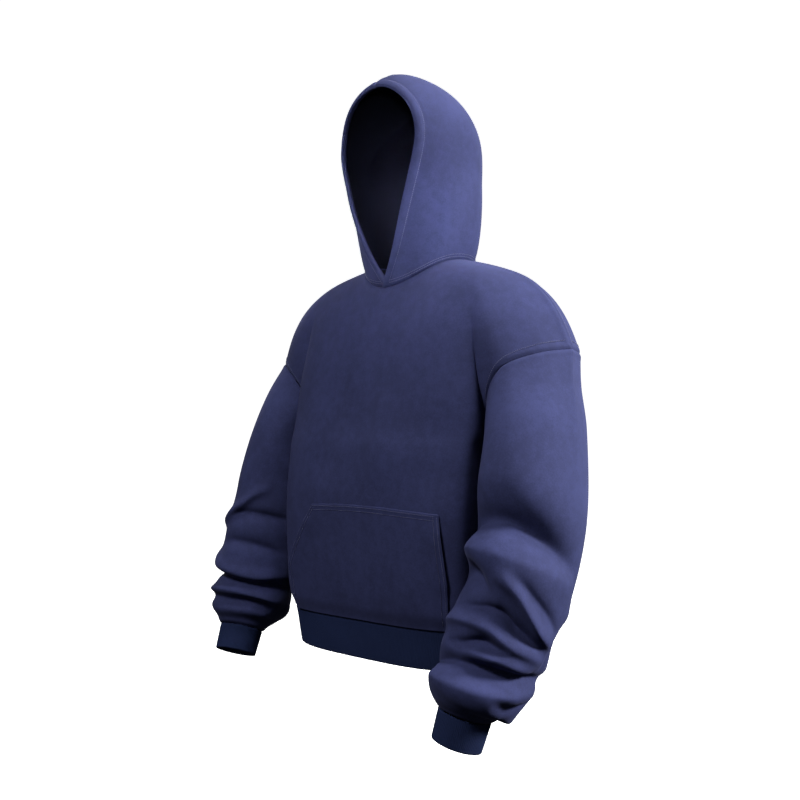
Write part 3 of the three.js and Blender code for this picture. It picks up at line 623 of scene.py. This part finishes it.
class Shell:
    """A closed cloth wall between an outer grid and the grid moved in by its wall."""

    def __init__(self, grid, wall, rise=0, wrap=False, flip=False, rounded=()):
        self.wrap, self.flip, self.turned = wrap, flip, 0
        self.rows, self.count = grid.shape[:2]
        self.out = normals(grid, wrap, flip)
        self.outer = grid + self.out * np.broadcast_to(rise, grid.shape[:2])[..., None]
        thick = np.broadcast_to(wall, grid.shape[:2])
        self.inner = grid - self.out * thick[..., None]
        size = self.rows * self.count
        self.points = [self.outer.reshape(-1, 3), self.inner.reshape(-1, 3)]
        self.total = 2 * size
        self.index = np.arange(2 * size).reshape(2, self.rows, self.count)
        self.faces = []
        self.add_sheet(self.index[0], False)
        self.outside_faces = len(self.faces[0])
        self.add_sheet(self.index[1], True)
        self.add_caps(rounded)

    def add_faces(self, a, b, c, d):
        quads = np.stack([a, b, c, d], axis=-1).reshape(-1, 4)
        self.faces.append(quads[:, ::-1] if self.flip else quads)

    def add_sheet(self, index, inward):
        ring = np.concatenate([index, index[:, :1]], axis=1) if self.wrap else index
        a, b, c, d = ring[:-1, :-1], ring[:-1, 1:], ring[1:, 1:], ring[1:, :-1]
        self.add_faces(*((a, d, c, b) if inward else (a, b, c, d)))

    def add_caps(self, rounded):
        edges = {"low": (np.s_[0], np.s_[1], False), "high": (np.s_[-1], np.s_[-2], True)}
        if not self.wrap:
            edges["start"] = (np.s_[:, 0], np.s_[:, 1], True)
            edges["end"] = (np.s_[:, -1], np.s_[:, -2], False)
        for name, (edge, inside, turned) in edges.items():
            rows = [self.index[0][edge], self.index[1][edge]]
            if name in rounded:
                rows[1:1] = self.round_edge(edge, inside, 5)
            for first, second in zip(rows[:-1], rows[1:]):
                if self.wrap:
                    first, second = np.append(first, first[0]), np.append(second, second[0])
                quad = (first[:-1], second[:-1], second[1:], first[1:])
                self.add_faces(*(quad[::-1] if turned else quad))

    def round_edge(self, edge, inside, steps):
        """Points on a half circle from the outer edge round to the inner edge."""
        outer, inner = self.outer[edge], self.inner[edge]
        middle, arm = (outer + inner) / 2, (outer - inner) / 2
        away = outer - self.outer[inside]
        away = unit(away - arm * dot(away, arm) / np.maximum(dot(arm, arm), 1e-9))
        away = away * np.linalg.norm(arm, axis=-1, keepdims=True)
        if not self.wrap:
            share = np.linspace(0, 1, len(outer))
            away = away * (ease(0, 0.02, share) * ease(0, 0.02, 1 - share))[:, None]
        rows = []
        for angle in np.pi * np.arange(1, steps) / steps:
            self.points.append(middle + arm * math.cos(angle) + away * math.sin(angle))
            rows.append(self.total + np.arange(len(outer)))
            self.total += len(outer)
        return rows

    def flat_size(self):
        """Length along the cloth at the middle row and the middle column, in metres."""
        middle = self.outer[self.rows // 2]
        ring = np.concatenate([middle, middle[:1]]) if self.wrap else middle
        over = np.linalg.norm(np.diff(ring, axis=0), axis=-1).sum()
        column = self.outer[:, self.count // 2]
        return over * MM, np.linalg.norm(np.diff(column, axis=0), axis=-1).sum() * MM


def mesh_object(name, verts, faces, materials, slots=None, uv=None):
    """Puts points in millimetres and faces into a new object at the origin."""
    mesh = bpy.data.meshes.new(name)
    mesh.from_pydata((verts * MM).tolist(), [], faces.tolist())
    mesh.polygons.foreach_set("use_smooth", np.ones(len(faces), bool))
    for material in materials:
        mesh.materials.append(material)
    if slots is not None:
        mesh.polygons.foreach_set("material_index", slots)
    if uv is not None:
        layer = mesh.uv_layers.new(name="cloth")
        corner = np.empty(len(mesh.loops), np.int32)
        mesh.loops.foreach_get("vertex_index", corner)
        layer.data.foreach_set("uv", uv[corner].astype(np.float32).ravel())
    mesh.update()
    mesh.validate()
    obj = bpy.data.objects.new(name, mesh)
    bpy.context.collection.objects.link(obj)
    return obj


def cloth_piece(name, node, shell, outside, inside):
    """A shell as a piece that stands for its CAD node."""
    verts = np.concatenate(shell.points)
    faces = np.concatenate(shell.faces)
    slots = np.zeros(len(faces), np.int32)
    # Inner faces past the turned casing take the second material, which on fleece pieces is painted
    # shade
    inner_faces = slots[shell.outside_faces:2 * shell.outside_faces].reshape(shell.rows - 1, -1)
    inner_faces[:, shell.turned:] = 1
    over, down = lengths(shell.outer, 1), lengths(shell.outer, 0)
    uv = np.stack([over, down], axis=-1).reshape(-1, 2) * MM
    uv = np.concatenate([uv, uv, np.zeros((len(verts) - 2 * len(uv), 2))])
    obj = mesh_object(name, verts, faces, [outside, inside], slots, uv)
    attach(obj, BODY)
    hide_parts(node)
    width, length = shell.flat_size()
    area = min(cloth_area(shell), width * length)


def cloth_area(shell):
    """Area of the outer grid in square metres, from its cells' cross products."""
    grid = shell.outer
    if shell.wrap:
        grid = np.concatenate([grid, grid[:, :1]], axis=1)
    first, second = grid[1:, 1:] - grid[:-1, :-1], grid[1:, :-1] - grid[:-1, 1:]
    return np.linalg.norm(np.cross(first, second), axis=-1).sum() / 2 * MM * MM


class Value:
    """A shader socket whose arithmetic adds Math nodes."""

    def __init__(self, tree, socket):
        self.tree, self.socket = tree, socket

    def math(self, operation, *others):
        return self.tree.node("ShaderNodeMath", {"operation": operation}, [self, *others])

    def __add__(self, other):
        return self.math("ADD", other)

    def __sub__(self, other):
        return self.math("SUBTRACT", other)

    def __rsub__(self, other):
        return self.tree.node("ShaderNodeMath", {"operation": "SUBTRACT"}, [other, self])

    def __mul__(self, other):
        return self.math("MULTIPLY", other)

    __radd__ = __add__
    __rmul__ = __mul__

    def sin(self):
        return self.math("SINE")

    def clamp(self):
        return self.tree.node("ShaderNodeClamp", {}, [self])


class Tree:
    """A new material's nodes."""

    def __init__(self, name):
        self.material = bpy.data.materials.new(name)
        self.material.use_nodes = True
        self.nodes = self.material.node_tree.nodes
        self.links = self.material.node_tree.links
        self.nodes.clear()

    def node(self, kind, settings=None, sockets=(), output=0):
        """Adds a node: settings first, then the values or links of its sockets."""
        node = self.nodes.new(kind)
        for key, value in (settings or {}).items():
            setattr(node, key, value)
        pairs = sockets.items() if isinstance(sockets, dict) else enumerate(sockets)
        for key, value in pairs:
            self.put(node.inputs[key], value)
        return Value(self, node.outputs[output])

    def put(self, socket, value):
        if isinstance(value, Value):
            self.links.new(value.socket, socket)
        else:
            socket.default_value = value

    def noise(self, vector, scale, detail=2.0, roughness=0.5):
        sockets = {"Vector": vector, "Scale": scale, "Detail": detail, "Roughness": roughness}
        return self.node("ShaderNodeTexNoise", {}, sockets)

    def blend(self, factor, first, second):
        sockets = {0: factor, 6: first, 7: second}
        return self.node("ShaderNodeMix", {"data_type": "RGBA"}, sockets, 2)

    def ramp(self, value, low, high):
        sockets = {"Value": value, "From Min": low, "From Max": high}
        return self.node("ShaderNodeMapRange", {"interpolation_type": "SMOOTHSTEP"}, sockets)

    def finish(self, sockets):
        shader = self.node("ShaderNodeBsdfPrincipled", {}, sockets)
        output = self.nodes.new("ShaderNodeOutputMaterial")
        self.links.new(shader.socket, output.inputs["Surface"])
        return self.material


def rgba(colour, scale=1.0):
    return tuple(c * scale for c in colour) + (1.0,)


def fleece_material(props, name="brushed fleece", shade=1.0):
    """Smooth fleece: a soft tone drift, fine heathered specks, nap bump and a cool sheen."""
    tree = Tree(name)
    place = tree.node("ShaderNodeTexCoord", output=3)
    drift = tree.noise(place, 9.0, 3.0)
    speck = tree.noise(place, 420.0, 3.0, 0.65)
    nap = tree.noise(place, 1100.0, 2.0, 0.6)
    cloud = tree.noise(place, 70.0, 3.0, 0.55)
    tone = (drift * 0.35 + speck * 0.4 + cloud * 0.25).clamp()
    factor = tree.ramp(tone, 0.36, 0.64)
    # shade below 1 darkens the colour: painted shade for the fleece's inner faces
    dark, light = rgba(props.fleece_colour, 0.8 * shade), rgba(props.fleece_colour, 1.22 * shade)
    colour = tree.blend(factor, dark, light)
    height = nap * 0.6 + speck * 0.4
    bump = tree.node("ShaderNodeBump", {}, {"Strength": props.nap, "Distance": 0.0006, "Height": height})
    return tree.finish({
        "Base Color": colour,
        "Roughness": tree.ramp(speck, 0.2, 0.8) * 0.12 + 0.8,
        "Normal": bump,
        "Specular IOR Level": 0.12,
        # the same painted shade dims the sheen too
        "Sheen Weight": 0.08 * shade,
        "Sheen Roughness": 0.38,
        "Sheen Tint": rgba(props.sheen_colour),
    })


def rib_material(props, name="rib knit"):
    """Rib knit: small stitches up each rib, with a fine mottle."""
    tree = Tree(name)
    place = tree.node("ShaderNodeTexCoord", output=3)
    flat = tree.node("ShaderNodeTexCoord", output=2)
    down = tree.node("ShaderNodeSeparateXYZ", {}, [flat], 1)
    course = (down * (2 * math.pi / (props.course * MM))).sin() * 0.5 + 0.5
    speck = tree.noise(place, 500.0, 3.0, 0.6)
    drift = tree.noise(place, 14.0, 2.0)
    factor = tree.ramp(course * 0.3 + speck * 0.4 + drift * 0.3, 0.3, 0.7)
    colour = tree.blend(factor, rgba(props.rib_colour, 0.75), rgba(props.rib_colour, 1.25))
    height = course * 0.5 + speck * 0.5
    bump = tree.node("ShaderNodeBump", {}, {"Strength": 0.5, "Distance": 0.0005, "Height": height})
    return tree.finish({
        "Base Color": colour,
        "Roughness": speck * 0.15 + 0.75,
        "Normal": bump,
        "Specular IOR Level": 0.12,
        "Sheen Weight": 0.05,
        "Sheen Roughness": 0.4,
        "Sheen Tint": rgba(props.sheen_colour),
    })


def thread_material(props):
    """Sewing thread, twisted, a shade lighter than the cloth."""
    tree = Tree("thread")
    place = tree.node("ShaderNodeTexCoord", output=3)
    twist = tree.noise(place, 1500.0, 2.0)
    colour = tree.blend(twist, rgba(props.thread_colour, 0.7), rgba(props.thread_colour, 1.3))
    return tree.finish({"Base Color": colour, "Roughness": twist * 0.2 + 0.45})


def floor_material():
    """Pale matt paint with a faint mottle, lit evenly."""
    tree = Tree("pale floor")
    place = tree.node("ShaderNodeTexCoord", output=3)
    mottle = tree.noise(place, 3.0, 2.0)
    return tree.finish({
        "Base Color": tree.blend(mottle, rgba(FLOOR_COLOUR, 0.985), rgba(FLOOR_COLOUR)),
        "Roughness": mottle * 0.05 + 0.9,
        "Emission Color": rgba(FLOOR_COLOUR),
        "Emission Strength": 1.0,
    })


# Painted shade: the fleece's inner faces are painted at this share of the fleece colour, for the dark,
# shadowed inside of the hood
INSIDE_PAINTED_SHADE = 0.16
FLOOR_COLOUR = (0.97, 0.97, 0.97)


def material(name, make):
    return bpy.data.materials.get(name) or make(bpy.context.scene.hoodie)


def fleece_piece(name, node, shell):
    """A piece of brushed fleece, with painted shade on its inside: its inner faces are painted much
    darker.
    """
    outside = material("brushed fleece", fleece_material)
    # the inside material is the fleece colour darkened as painted shade
    inside = material("fleece inside painted shade", lambda p: fleece_material(p, "fleece inside painted shade", INSIDE_PAINTED_SHADE))
    cloth_piece(name, node, shell, outside, inside)


def rib_piece(name, node, shell):
    knit = material("rib knit", rib_material)
    cloth_piece(name, node, shell, knit, knit)


def colour_of(name, what, default):
    return FloatVectorProperty(
        name=name, description="Colour of the " + what, subtype="COLOR",
        size=3, min=0, max=1, default=default)


def millimetres(name, what, low, high, default):
    return FloatProperty(
        name=name, description=what + " in millimetres", min=low, max=high, default=default)


class HoodieProps(bpy.types.PropertyGroup):
    """Sizes and colours that a user would change."""

    fleece_colour: colour_of("Fleece", "fleece", (0.0230, 0.0272, 0.0790))
    rib_colour: colour_of("Rib", "ribbed cuffs and band", (0.0085, 0.0150, 0.0500))
    sheen_colour: colour_of("Sheen", "soft light on the nap", (0.30, 0.32, 0.62))
    thread_colour: colour_of("Thread", "sewing thread", (0.050, 0.055, 0.130))
    nap: FloatProperty(
        name="Nap", description="Strength of the nap's bump", subtype="FACTOR",
        min=0, max=1, default=0.35)
    wall: millimetres("Fleece thickness", "Thickness of the fleece", 1, 4, 2.6)
    rib_wall: millimetres("Rib thickness", "Thickness of the rib knit", 1, 4, 2.2)
    rib_pitch: millimetres("Rib pitch", "Width of one rib", 1, 8, 2.9)
    course: millimetres("Course", "Height of one knit stitch", 0.5, 4, 1.5)
    stitch: millimetres("Stitch length", "Length of one sewing stitch", 1, 8, 3.0)


def body_shell(face, props):
    """One body panel on a fine grid, dipped into its seams."""
    half = np.unique(np.concatenate([near_edges(86, 400, low=False), [NECK_ACROSS]]))
    across = both_ways(half)
    v = near_edges(150, 620) * 2
    grid = body_point(face, across[None, :], v[:, None])
    rise = seam_dip(edge_distance(grid, ["low", "high", "start", "end"]))
    return Shell(grid, props.wall, rise, flip=face is BACK)


def sleeve_shell(limb, props):
    """One sleeve on a fine grid, dipped into the armhole and cuff seams."""
    at = near_edges(210, 520)
    angle = np.radians(np.arange(150) * 360 / 150 - 90)
    grid = sleeve_point(limb, at[:, None], angle[None, :])
    rise = seam_dip(edge_distance(grid, ["low", "high"]))
    return Shell(grid, props.wall, rise, wrap=True, flip=limb["side"] > 0)


def tucked(steps):
    """The steps and one more past the seam, for the cloth that turns in."""
    return np.append(steps, 1 + CROWN_TUCK)


def hood_shell(side, props):
    """One hood half, with the turned casing round the opening standing a little proud."""
    back = tucked(near_edges(105, 330))
    up = tucked(near_edges(105, 360))
    up[0] = -NECK_TUCK
    whole = hood_point(side, back[None, :], up[:, None])
    grid = whole[:-1, :-1]
    over = lengths(grid, 1)
    rise = seam_dip(edge_distance(grid, ["low", "high", "end"]))
    roll = np.sqrt(np.maximum(0, 1 - (2 * over / CASING - 1) ** 2))
    rise = rise + CASING_RISE * roll - CASING_GROOVE * bell((over - CASING) / GROOVE_REACH)
    wall = np.pad(props.wall + CASING_RISE * roll, ((0, 1), (0, 1)), mode="edge")
    rise = np.pad(rise, ((0, 1), (0, 1)), constant_values=-TUCK_DEPTH)
    shell = Shell(whole, wall, rise, flip=side < 0, rounded=["start"])
    shell.turned = np.searchsorted(over[len(up) // 2], CASING)
    return shell


def rib_rise(count, rows, height=0.75):
    """A soft wave round the tube: four steps to a rib."""
    wave = np.cos(np.arange(count) * np.pi / 2) * 0.5 + 0.5
    return np.broadcast_to(wave * height, (rows, count))


def even_turns(place, count):
    """Parameters that split a closed curve into equal lengths."""
    fine = np.linspace(0, 1, 4001)
    run = np.concatenate([[0], np.cumsum(np.linalg.norm(np.diff(place(fine), axis=0), axis=-1))])
    return np.interp(np.arange(count) / count * run[-1], run, fine), run[-1]


def band_shell(props):
    """The hem band, ribbed all round."""
    _, around = even_turns(lambda t: band_point(t, 0), 4)
    count = 4 * round(around / props.rib_pitch)
    turn, _ = even_turns(lambda t: band_point(t, BAND_HEIGHT / 2), count)
    drop = np.append(np.linspace(BAND_HEIGHT, SEAM_GAP, 12), -BAND_TUCK)
    grid = band_point(turn[None, :], drop[:, None])
    rise = np.array(rib_rise(count, len(drop)))
    rise[-1] = -TUCK_DEPTH
    return Shell(grid, props.rib_wall, rise, wrap=True, rounded=["low"])


def cuff_shell(limb, props):
    """One cuff, ribbed all round."""
    radius = read(limb["arm"], "at", 1.0, "across")
    count = 4 * round(2 * math.pi * radius / (props.rib_pitch * 0.9))
    angle = np.arange(count) * 2 * np.pi / count
    drop = np.linspace(SEAM_GAP, CUFF_LENGTH, 16)
    grid = cuff_point(limb, angle[None, :], drop[:, None])
    rise = rib_rise(count, len(drop))
    return Shell(grid, props.rib_wall, rise, wrap=True, flip=limb["side"] > 0, rounded=["high"])


def pocket_grid(share, up):
    """The front panel's own points, moved out along its normal by the pocket's lift."""
    across, v = pocket_place(share, up)
    flat = body_point(FRONT, across, v)
    over = body_point(FRONT, across + POCKET_TILT_STEP, v) - flat
    rise = body_point(FRONT, across, v + POCKET_TILT_STEP) - flat
    return flat + unit(np.cross(over, rise)) * pocket_lift(share, up)[..., None]


def pocket_shell(props):
    """The pocket on a fine grid, with a rounded hem just inside its edges."""
    share = both_ways(near_edges(44, 180, low=False))
    up = near_edges(80, 200)
    grid = pocket_grid(*np.meshgrid(share, up))
    rise = 0.5 * bell((edge_distance(grid, ["high", "start", "end"]) - 2.5) / 3)
    return Shell(grid, POCKET_WALL, rise, rounded=["high", "start", "end"])


THREAD_RADIUS = 0.42
THREAD_SINK = 0.25
STITCH_SHARE = 0.8


def stitch_row(path, out, pitch, radius=THREAD_RADIUS):
    """Stitches along a path: short arched threads, thick in the middle, six sides round."""
    run = np.concatenate([[0], np.cumsum(np.linalg.norm(np.diff(path, axis=0), axis=-1))])
    count = int(run[-1] // pitch)
    middle = (np.arange(count) + 0.5) * pitch
    length = pitch * STITCH_SHARE

    def at(place, values):
        return np.stack([np.interp(place, run, values[:, k]) for k in range(3)], axis=-1)

    share = np.array([-0.5, -0.36, 0, 0.36, 0.5])
    centre = at((middle[:, None] + share * length).ravel(), path).reshape(count, 5, 3)
    lift = unit(at(middle, out))[:, None]
    along = unit(centre[:, -1:] - centre[:, :1])
    side = np.cross(along, lift)
    bulge = np.array([0.15, 0.8, 1, 0.8, 0.15])[None, :, None] * radius
    centre = centre + lift * (bulge * 0.9 - THREAD_SINK)
    angle = np.arange(6) * np.pi / 3
    ring = side[:, :, None] * np.cos(angle)[:, None] + lift[:, :, None] * np.sin(angle)[:, None]
    verts = (centre[:, :, None] + ring * bulge[:, :, None]).reshape(-1, 3)
    j, i = np.meshgrid(np.arange(4), np.arange(6), indexing="ij")
    after = (i + 1) % 6
    quad = np.stack([j * 6 + i, j * 6 + after, j * 6 + 6 + after, j * 6 + 6 + i], -1).reshape(-1, 4)
    ends = np.array([[0, 5, 4, 3], [0, 3, 2, 1], [24, 25, 26, 27], [24, 27, 28, 29]])
    template = np.concatenate([quad, ends])
    faces = (template[None] + np.arange(count)[:, None, None] * 30).reshape(-1, 4)
    return verts, faces


def surface_line(point, u, v, rise=0.0, flip=False, step=0.002):
    """A path on a surface and its outward normals, found by small steps both ways."""
    here = point(u, v)
    across = point(u + step, v) - point(u - step, v)
    along = point(u, v + step) - point(u, v - step)
    out = unit(np.cross(across, along)) * (-1 if flip else 1)
    return here + out * rise, out


def panel_line(face, across, v):
    return surface_line(partial(body_point, face), across, v, 0.6, face is BACK)


def neck_stitches():
    """Two rows above the neck seam, on the hood halves."""
    back = np.linspace(0.01, 0.99, 300)
    return [surface_line(partial(hood_point, side), back, np.full_like(back, up), 0.9, side < 0)
            for side in (1, -1) for up in (0.016, 0.028)]


def casing_stitches():
    """One row round each half of the hood opening, at the casing's depth."""
    rows = []
    for side in (1, -1):
        up = np.linspace(0.02, 0.99, 300)
        back = np.linspace(0, 0.25, 60)
        grid = hood_point(side, back[None, :], up[:, None])
        over = lengths(grid, 1)
        place = np.array([np.interp(CASING - 0.5, run, back) for run in over])
        rows.append(surface_line(partial(hood_point, side), place, up, 0.9, side < 0))
    return rows


def shoulder_stitches():
    """A row behind each shoulder seam and one beside each armhole seam."""
    rows = []
    for side in (1, -1):
        across = side * np.linspace(NECK_ACROSS * 1.02, 0.99, 160)
        rows.append(panel_line(BACK, across, np.full_like(across, 1.975)))
    v = np.linspace(1.03, 1.98, 260)
    for face in (FRONT, BACK):
        for side in (1, -1):
            rows.append(panel_line(face, np.full_like(v, side * 0.985), v))
    return rows


def pocket_stitches():
    """Rows round the pocket's mouths and top, two along each mouth."""
    up = np.linspace(0.05, 0.985, 200)
    share = np.linspace(-0.97, 0.97, 240)
    mouths = [(np.full_like(up, side * edge), up) for edge in (0.985, 0.945) for side in (1, -1)]
    tops = [(share, np.full_like(share, top)) for top in (0.985, 0.95)]
    return [surface_line(pocket_grid, *place, 0.5) for place in mouths + tops]


def band_stitches():
    """A row above the hem seam, on each panel."""
    across = np.linspace(-0.995, 0.995, 400)
    return [panel_line(face, across, np.full_like(across, 0.018)) for face in (FRONT, BACK)]


class PieceOperator:
    """Runs make."""

    bl_options = {"REGISTER", "UNDO"}

    def execute(self, context):
        self.make(context.scene.hoodie)
        return {"FINISHED"}


class HOODIE_OT_body(PieceOperator, bpy.types.Operator):
    """Make the front and back panels"""

    bl_idname = "hoodie.body"
    bl_label = "Body panels"

    def make(self, props):
        fleece_piece("front_panel", "body_front", body_shell(FRONT, props))
        fleece_piece("back_panel", "body_back", body_shell(BACK, props))


class HOODIE_OT_sleeves(PieceOperator, bpy.types.Operator):
    """Make the two sleeves"""

    bl_idname = "hoodie.sleeves"
    bl_label = "Sleeves"

    def make(self, props):
        fleece_piece("left_sleeve", "sleeve_left", sleeve_shell(LEFT, props))
        fleece_piece("right_sleeve", "sleeve_right", sleeve_shell(RIGHT, props))


class HOODIE_OT_hood(PieceOperator, bpy.types.Operator):
    """Make the two hood halves"""

    bl_idname = "hoodie.hood"
    bl_label = "Hood"

    def make(self, props):
        fleece_piece("left_hood", "hood_left", hood_shell(1, props))
        fleece_piece("right_hood", "hood_right", hood_shell(-1, props))


class HOODIE_OT_ribs(PieceOperator, bpy.types.Operator):
    """Make the hem band and the two cuffs"""

    bl_idname = "hoodie.ribs"
    bl_label = "Band and cuffs"

    def make(self, props):
        rib_piece("band", "hem_band", band_shell(props))
        rib_piece("left_cuff", "cuff_left", cuff_shell(LEFT, props))
        rib_piece("right_cuff", "cuff_right", cuff_shell(RIGHT, props))


class HOODIE_OT_pocket(PieceOperator, bpy.types.Operator):
    """Make the front pocket"""

    bl_idname = "hoodie.pocket"
    bl_label = "Pocket"

    def make(self, props):
        fleece_piece("front_pocket", "pocket", pocket_shell(props))


class HOODIE_OT_sewing(PieceOperator, bpy.types.Operator):
    """Sew the rows of stitches"""

    bl_idname = "hoodie.sewing"
    bl_label = "Sewing"

    def make(self, props):
        thread = material("thread", thread_material)
        groups = {
            "neck_sewing": neck_stitches(),
            "opening_sewing": casing_stitches(),
            "shoulder_sewing": shoulder_stitches(),
            "pocket_sewing": pocket_stitches(),
            "hem_sewing": band_stitches(),
        }
        for name, rows in groups.items():
            parts = [stitch_row(path, out, props.stitch) for path, out in rows]
            shift = np.cumsum([0] + [len(verts) for verts, _ in parts[:-1]])
            verts = np.concatenate([verts for verts, _ in parts])
            faces = np.concatenate([faces + start for (_, faces), start in zip(parts, shift)])
            obj = mesh_object(name, verts, faces, [thread])
            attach(obj, BODY)


# Camera, found from the perspective of the hem, shoulders and cuffs
VIEW_ANGLE = math.radians(46)
VIEW_DISTANCE = 1.550
VIEW_SHIFT = -0.044
EYE_HEIGHT = -0.236
FOCAL_PIXELS = 878
PICTURE = 800
SENSOR = 36.0

# Floor in metres, and the rings of its far wall: share of its reach, and height over it
FLOOR_Z = -1.05
FLOOR_REACH = 30
FLOOR_SIDES = 48
FLOOR_RINGS = ((0.02, 0), (0.8, 0), (0.94, 0.06), (1, 0.2), (1, 3))

# Sky light: between two heights, and between two directions behind the hoodie
SKY_HEIGHT = (-0.2, -0.06, 0.12, 0.75)
SKY_BEHIND = (0.3, 0.75, 0.14, 1.0)

# Lamps: name, place and target in metres, size, power in watts and spread in degrees
LAMPS = (
    ("side", (1.9, 1.0, 0.5), (0, -0.05, -0.35), 0.6, 125, 180),
    ("above", (0.5, 0.1, 2.0), (0, -0.05, -0.2), 0.6, 60, 180),
    ("front", (0.3, -1.8, 1.2), (0, -0.1, -0.1), 0.6, 44, 180),
    ("hood", (1.2, -1.3, -0.1), (0.02, -0.08, 0.06), 0.2, 0.35, 16),
)


def area_light(name, place, target, size, power, spread):
    """A round lamp turned towards its target."""
    light = bpy.data.lights.new(name, "AREA")
    light.shape = "DISK"
    light.size, light.energy, light.spread = size, power, math.radians(spread)
    obj = bpy.data.objects.new(name, light)
    obj.location = place
    aim = Vector(target) - Vector(place)
    obj.rotation_euler = aim.to_track_quat("-Z", "Y").to_euler()
    bpy.context.collection.objects.link(obj)


def make_camera():
    """Level camera at the photograph's angle, distance and height."""
    data = bpy.data.cameras.new("camera")
    data.lens = FOCAL_PIXELS / PICTURE * SENSOR
    data.sensor_width = SENSOR
    camera = bpy.data.objects.new("camera", data)
    toward = Vector((math.sin(VIEW_ANGLE), -math.cos(VIEW_ANGLE), 0))
    aside = Vector((math.cos(VIEW_ANGLE), math.sin(VIEW_ANGLE), 0))
    camera.location = toward * VIEW_DISTANCE + aside * VIEW_SHIFT + Vector((0, 0, EYE_HEIGHT))
    camera.rotation_euler = (math.pi / 2, 0, VIEW_ANGLE)
    bpy.context.collection.objects.link(camera)
    bpy.context.scene.camera = camera


def make_floor():
    """A large pale floor well below the hanging cuffs, turned up into a wall far away."""
    around = np.arange(FLOOR_SIDES) * 2 * np.pi / FLOOR_SIDES
    rings = np.array(FLOOR_RINGS) * FLOOR_REACH
    far, high = rings[:, :1], rings[:, 1:] + FLOOR_Z
    verts = points(np.cos(around) * far, np.sin(around) * far, high).reshape(-1, 3) / MM
    j, i = np.meshgrid(np.arange(len(rings) - 1) * FLOOR_SIDES, np.arange(FLOOR_SIDES), indexing="ij")
    after = j + (i + 1) % FLOOR_SIDES
    walls = np.stack([j + i, after, after + FLOOR_SIDES, j + i + FLOOR_SIDES], -1).reshape(-1, 4)
    k = np.arange(FLOOR_SIDES // 2 - 1)
    middle = np.stack([k, k + 1, FLOOR_SIDES - 2 - k, FLOOR_SIDES - 1 - k], axis=-1)
    floor = mesh_object("floor", verts, np.concatenate([middle, walls[:, ::-1]]), [floor_material()])
    floor.visible_diffuse = False
    floor.visible_glossy = False
    floor.visible_shadow = False


def make_world():
    """White sky light, strongest behind the hoodie and weak from below."""
    world = bpy.data.worlds.new("studio")
    world.use_nodes = True
    nodes, links = world.node_tree.nodes, world.node_tree.links
    place = nodes.new("ShaderNodeTexCoord")
    height = nodes.new("ShaderNodeSeparateXYZ")
    links.new(place.outputs["Generated"], height.inputs[0])
    behind = nodes.new("ShaderNodeVectorMath")
    behind.operation = "DOT_PRODUCT"
    behind.inputs[1].default_value = (-math.sin(VIEW_ANGLE), math.cos(VIEW_ANGLE), 0)
    links.new(place.outputs["Generated"], behind.inputs[0])
    strength = nodes.new("ShaderNodeMath")
    strength.operation = "MULTIPLY"
    bands = ((height.outputs["Z"], SKY_HEIGHT), (behind.outputs["Value"], SKY_BEHIND))
    for socket, (source, levels) in zip(strength.inputs, bands):
        level = nodes.new("ShaderNodeMapRange")
        for name, value in zip(("From Min", "From Max", "To Min", "To Max"), levels):
            level.inputs[name].default_value = value
        links.new(source, level.inputs["Value"])
        links.new(level.outputs[0], socket)
    links.new(strength.outputs[0], nodes["Background"].inputs["Strength"])
    nodes["Background"].inputs["Color"].default_value = (1.0, 1.0, 1.0, 1.0)
    bpy.context.scene.world = world


class HOODIE_OT_stage(PieceOperator, bpy.types.Operator):
    """Set up the floor, the lights and the camera"""

    bl_idname = "hoodie.stage"
    bl_label = "Studio"

    def make(self, props):
        make_floor()
        make_world()
        make_camera()
        for lamp in LAMPS:
            area_light(*lamp)
        bpy.context.scene.view_settings.view_transform = "Standard"


OPERATORS = (
    HOODIE_OT_body,
    HOODIE_OT_sleeves,
    HOODIE_OT_hood,
    HOODIE_OT_ribs,
    HOODIE_OT_pocket,
    HOODIE_OT_sewing,
    HOODIE_OT_stage,
)


class HOODIE_PT_panel(bpy.types.Panel):
    """Lists the sizes, the colours and each piece's button"""

    bl_idname = "HOODIE_PT_panel"
    bl_label = "Hoodie"
    bl_space_type = "VIEW_3D"
    bl_region_type = "UI"
    bl_category = "Hoodie"

    def draw(self, context):
        column = self.layout.column()
        for name in HoodieProps.__annotations__:
            column.prop(context.scene.hoodie, name)
        for operator in OPERATORS:
            column.operator(operator.bl_idname)


CLASSES = (HoodieProps, *OPERATORS, HOODIE_PT_panel)


def register():
    for cls in CLASSES:
        bpy.utils.register_class(cls)
    bpy.types.Scene.hoodie = PointerProperty(type=HoodieProps)


def unregister():
    del bpy.types.Scene.hoodie
    for cls in reversed(CLASSES):
        bpy.utils.unregister_class(cls)


def main():
    register()
    for operator in OPERATORS:
        group, name = operator.bl_idname.split(".")
        getattr(getattr(bpy.ops, group), name)()


if __name__ == "__main__":
    main()
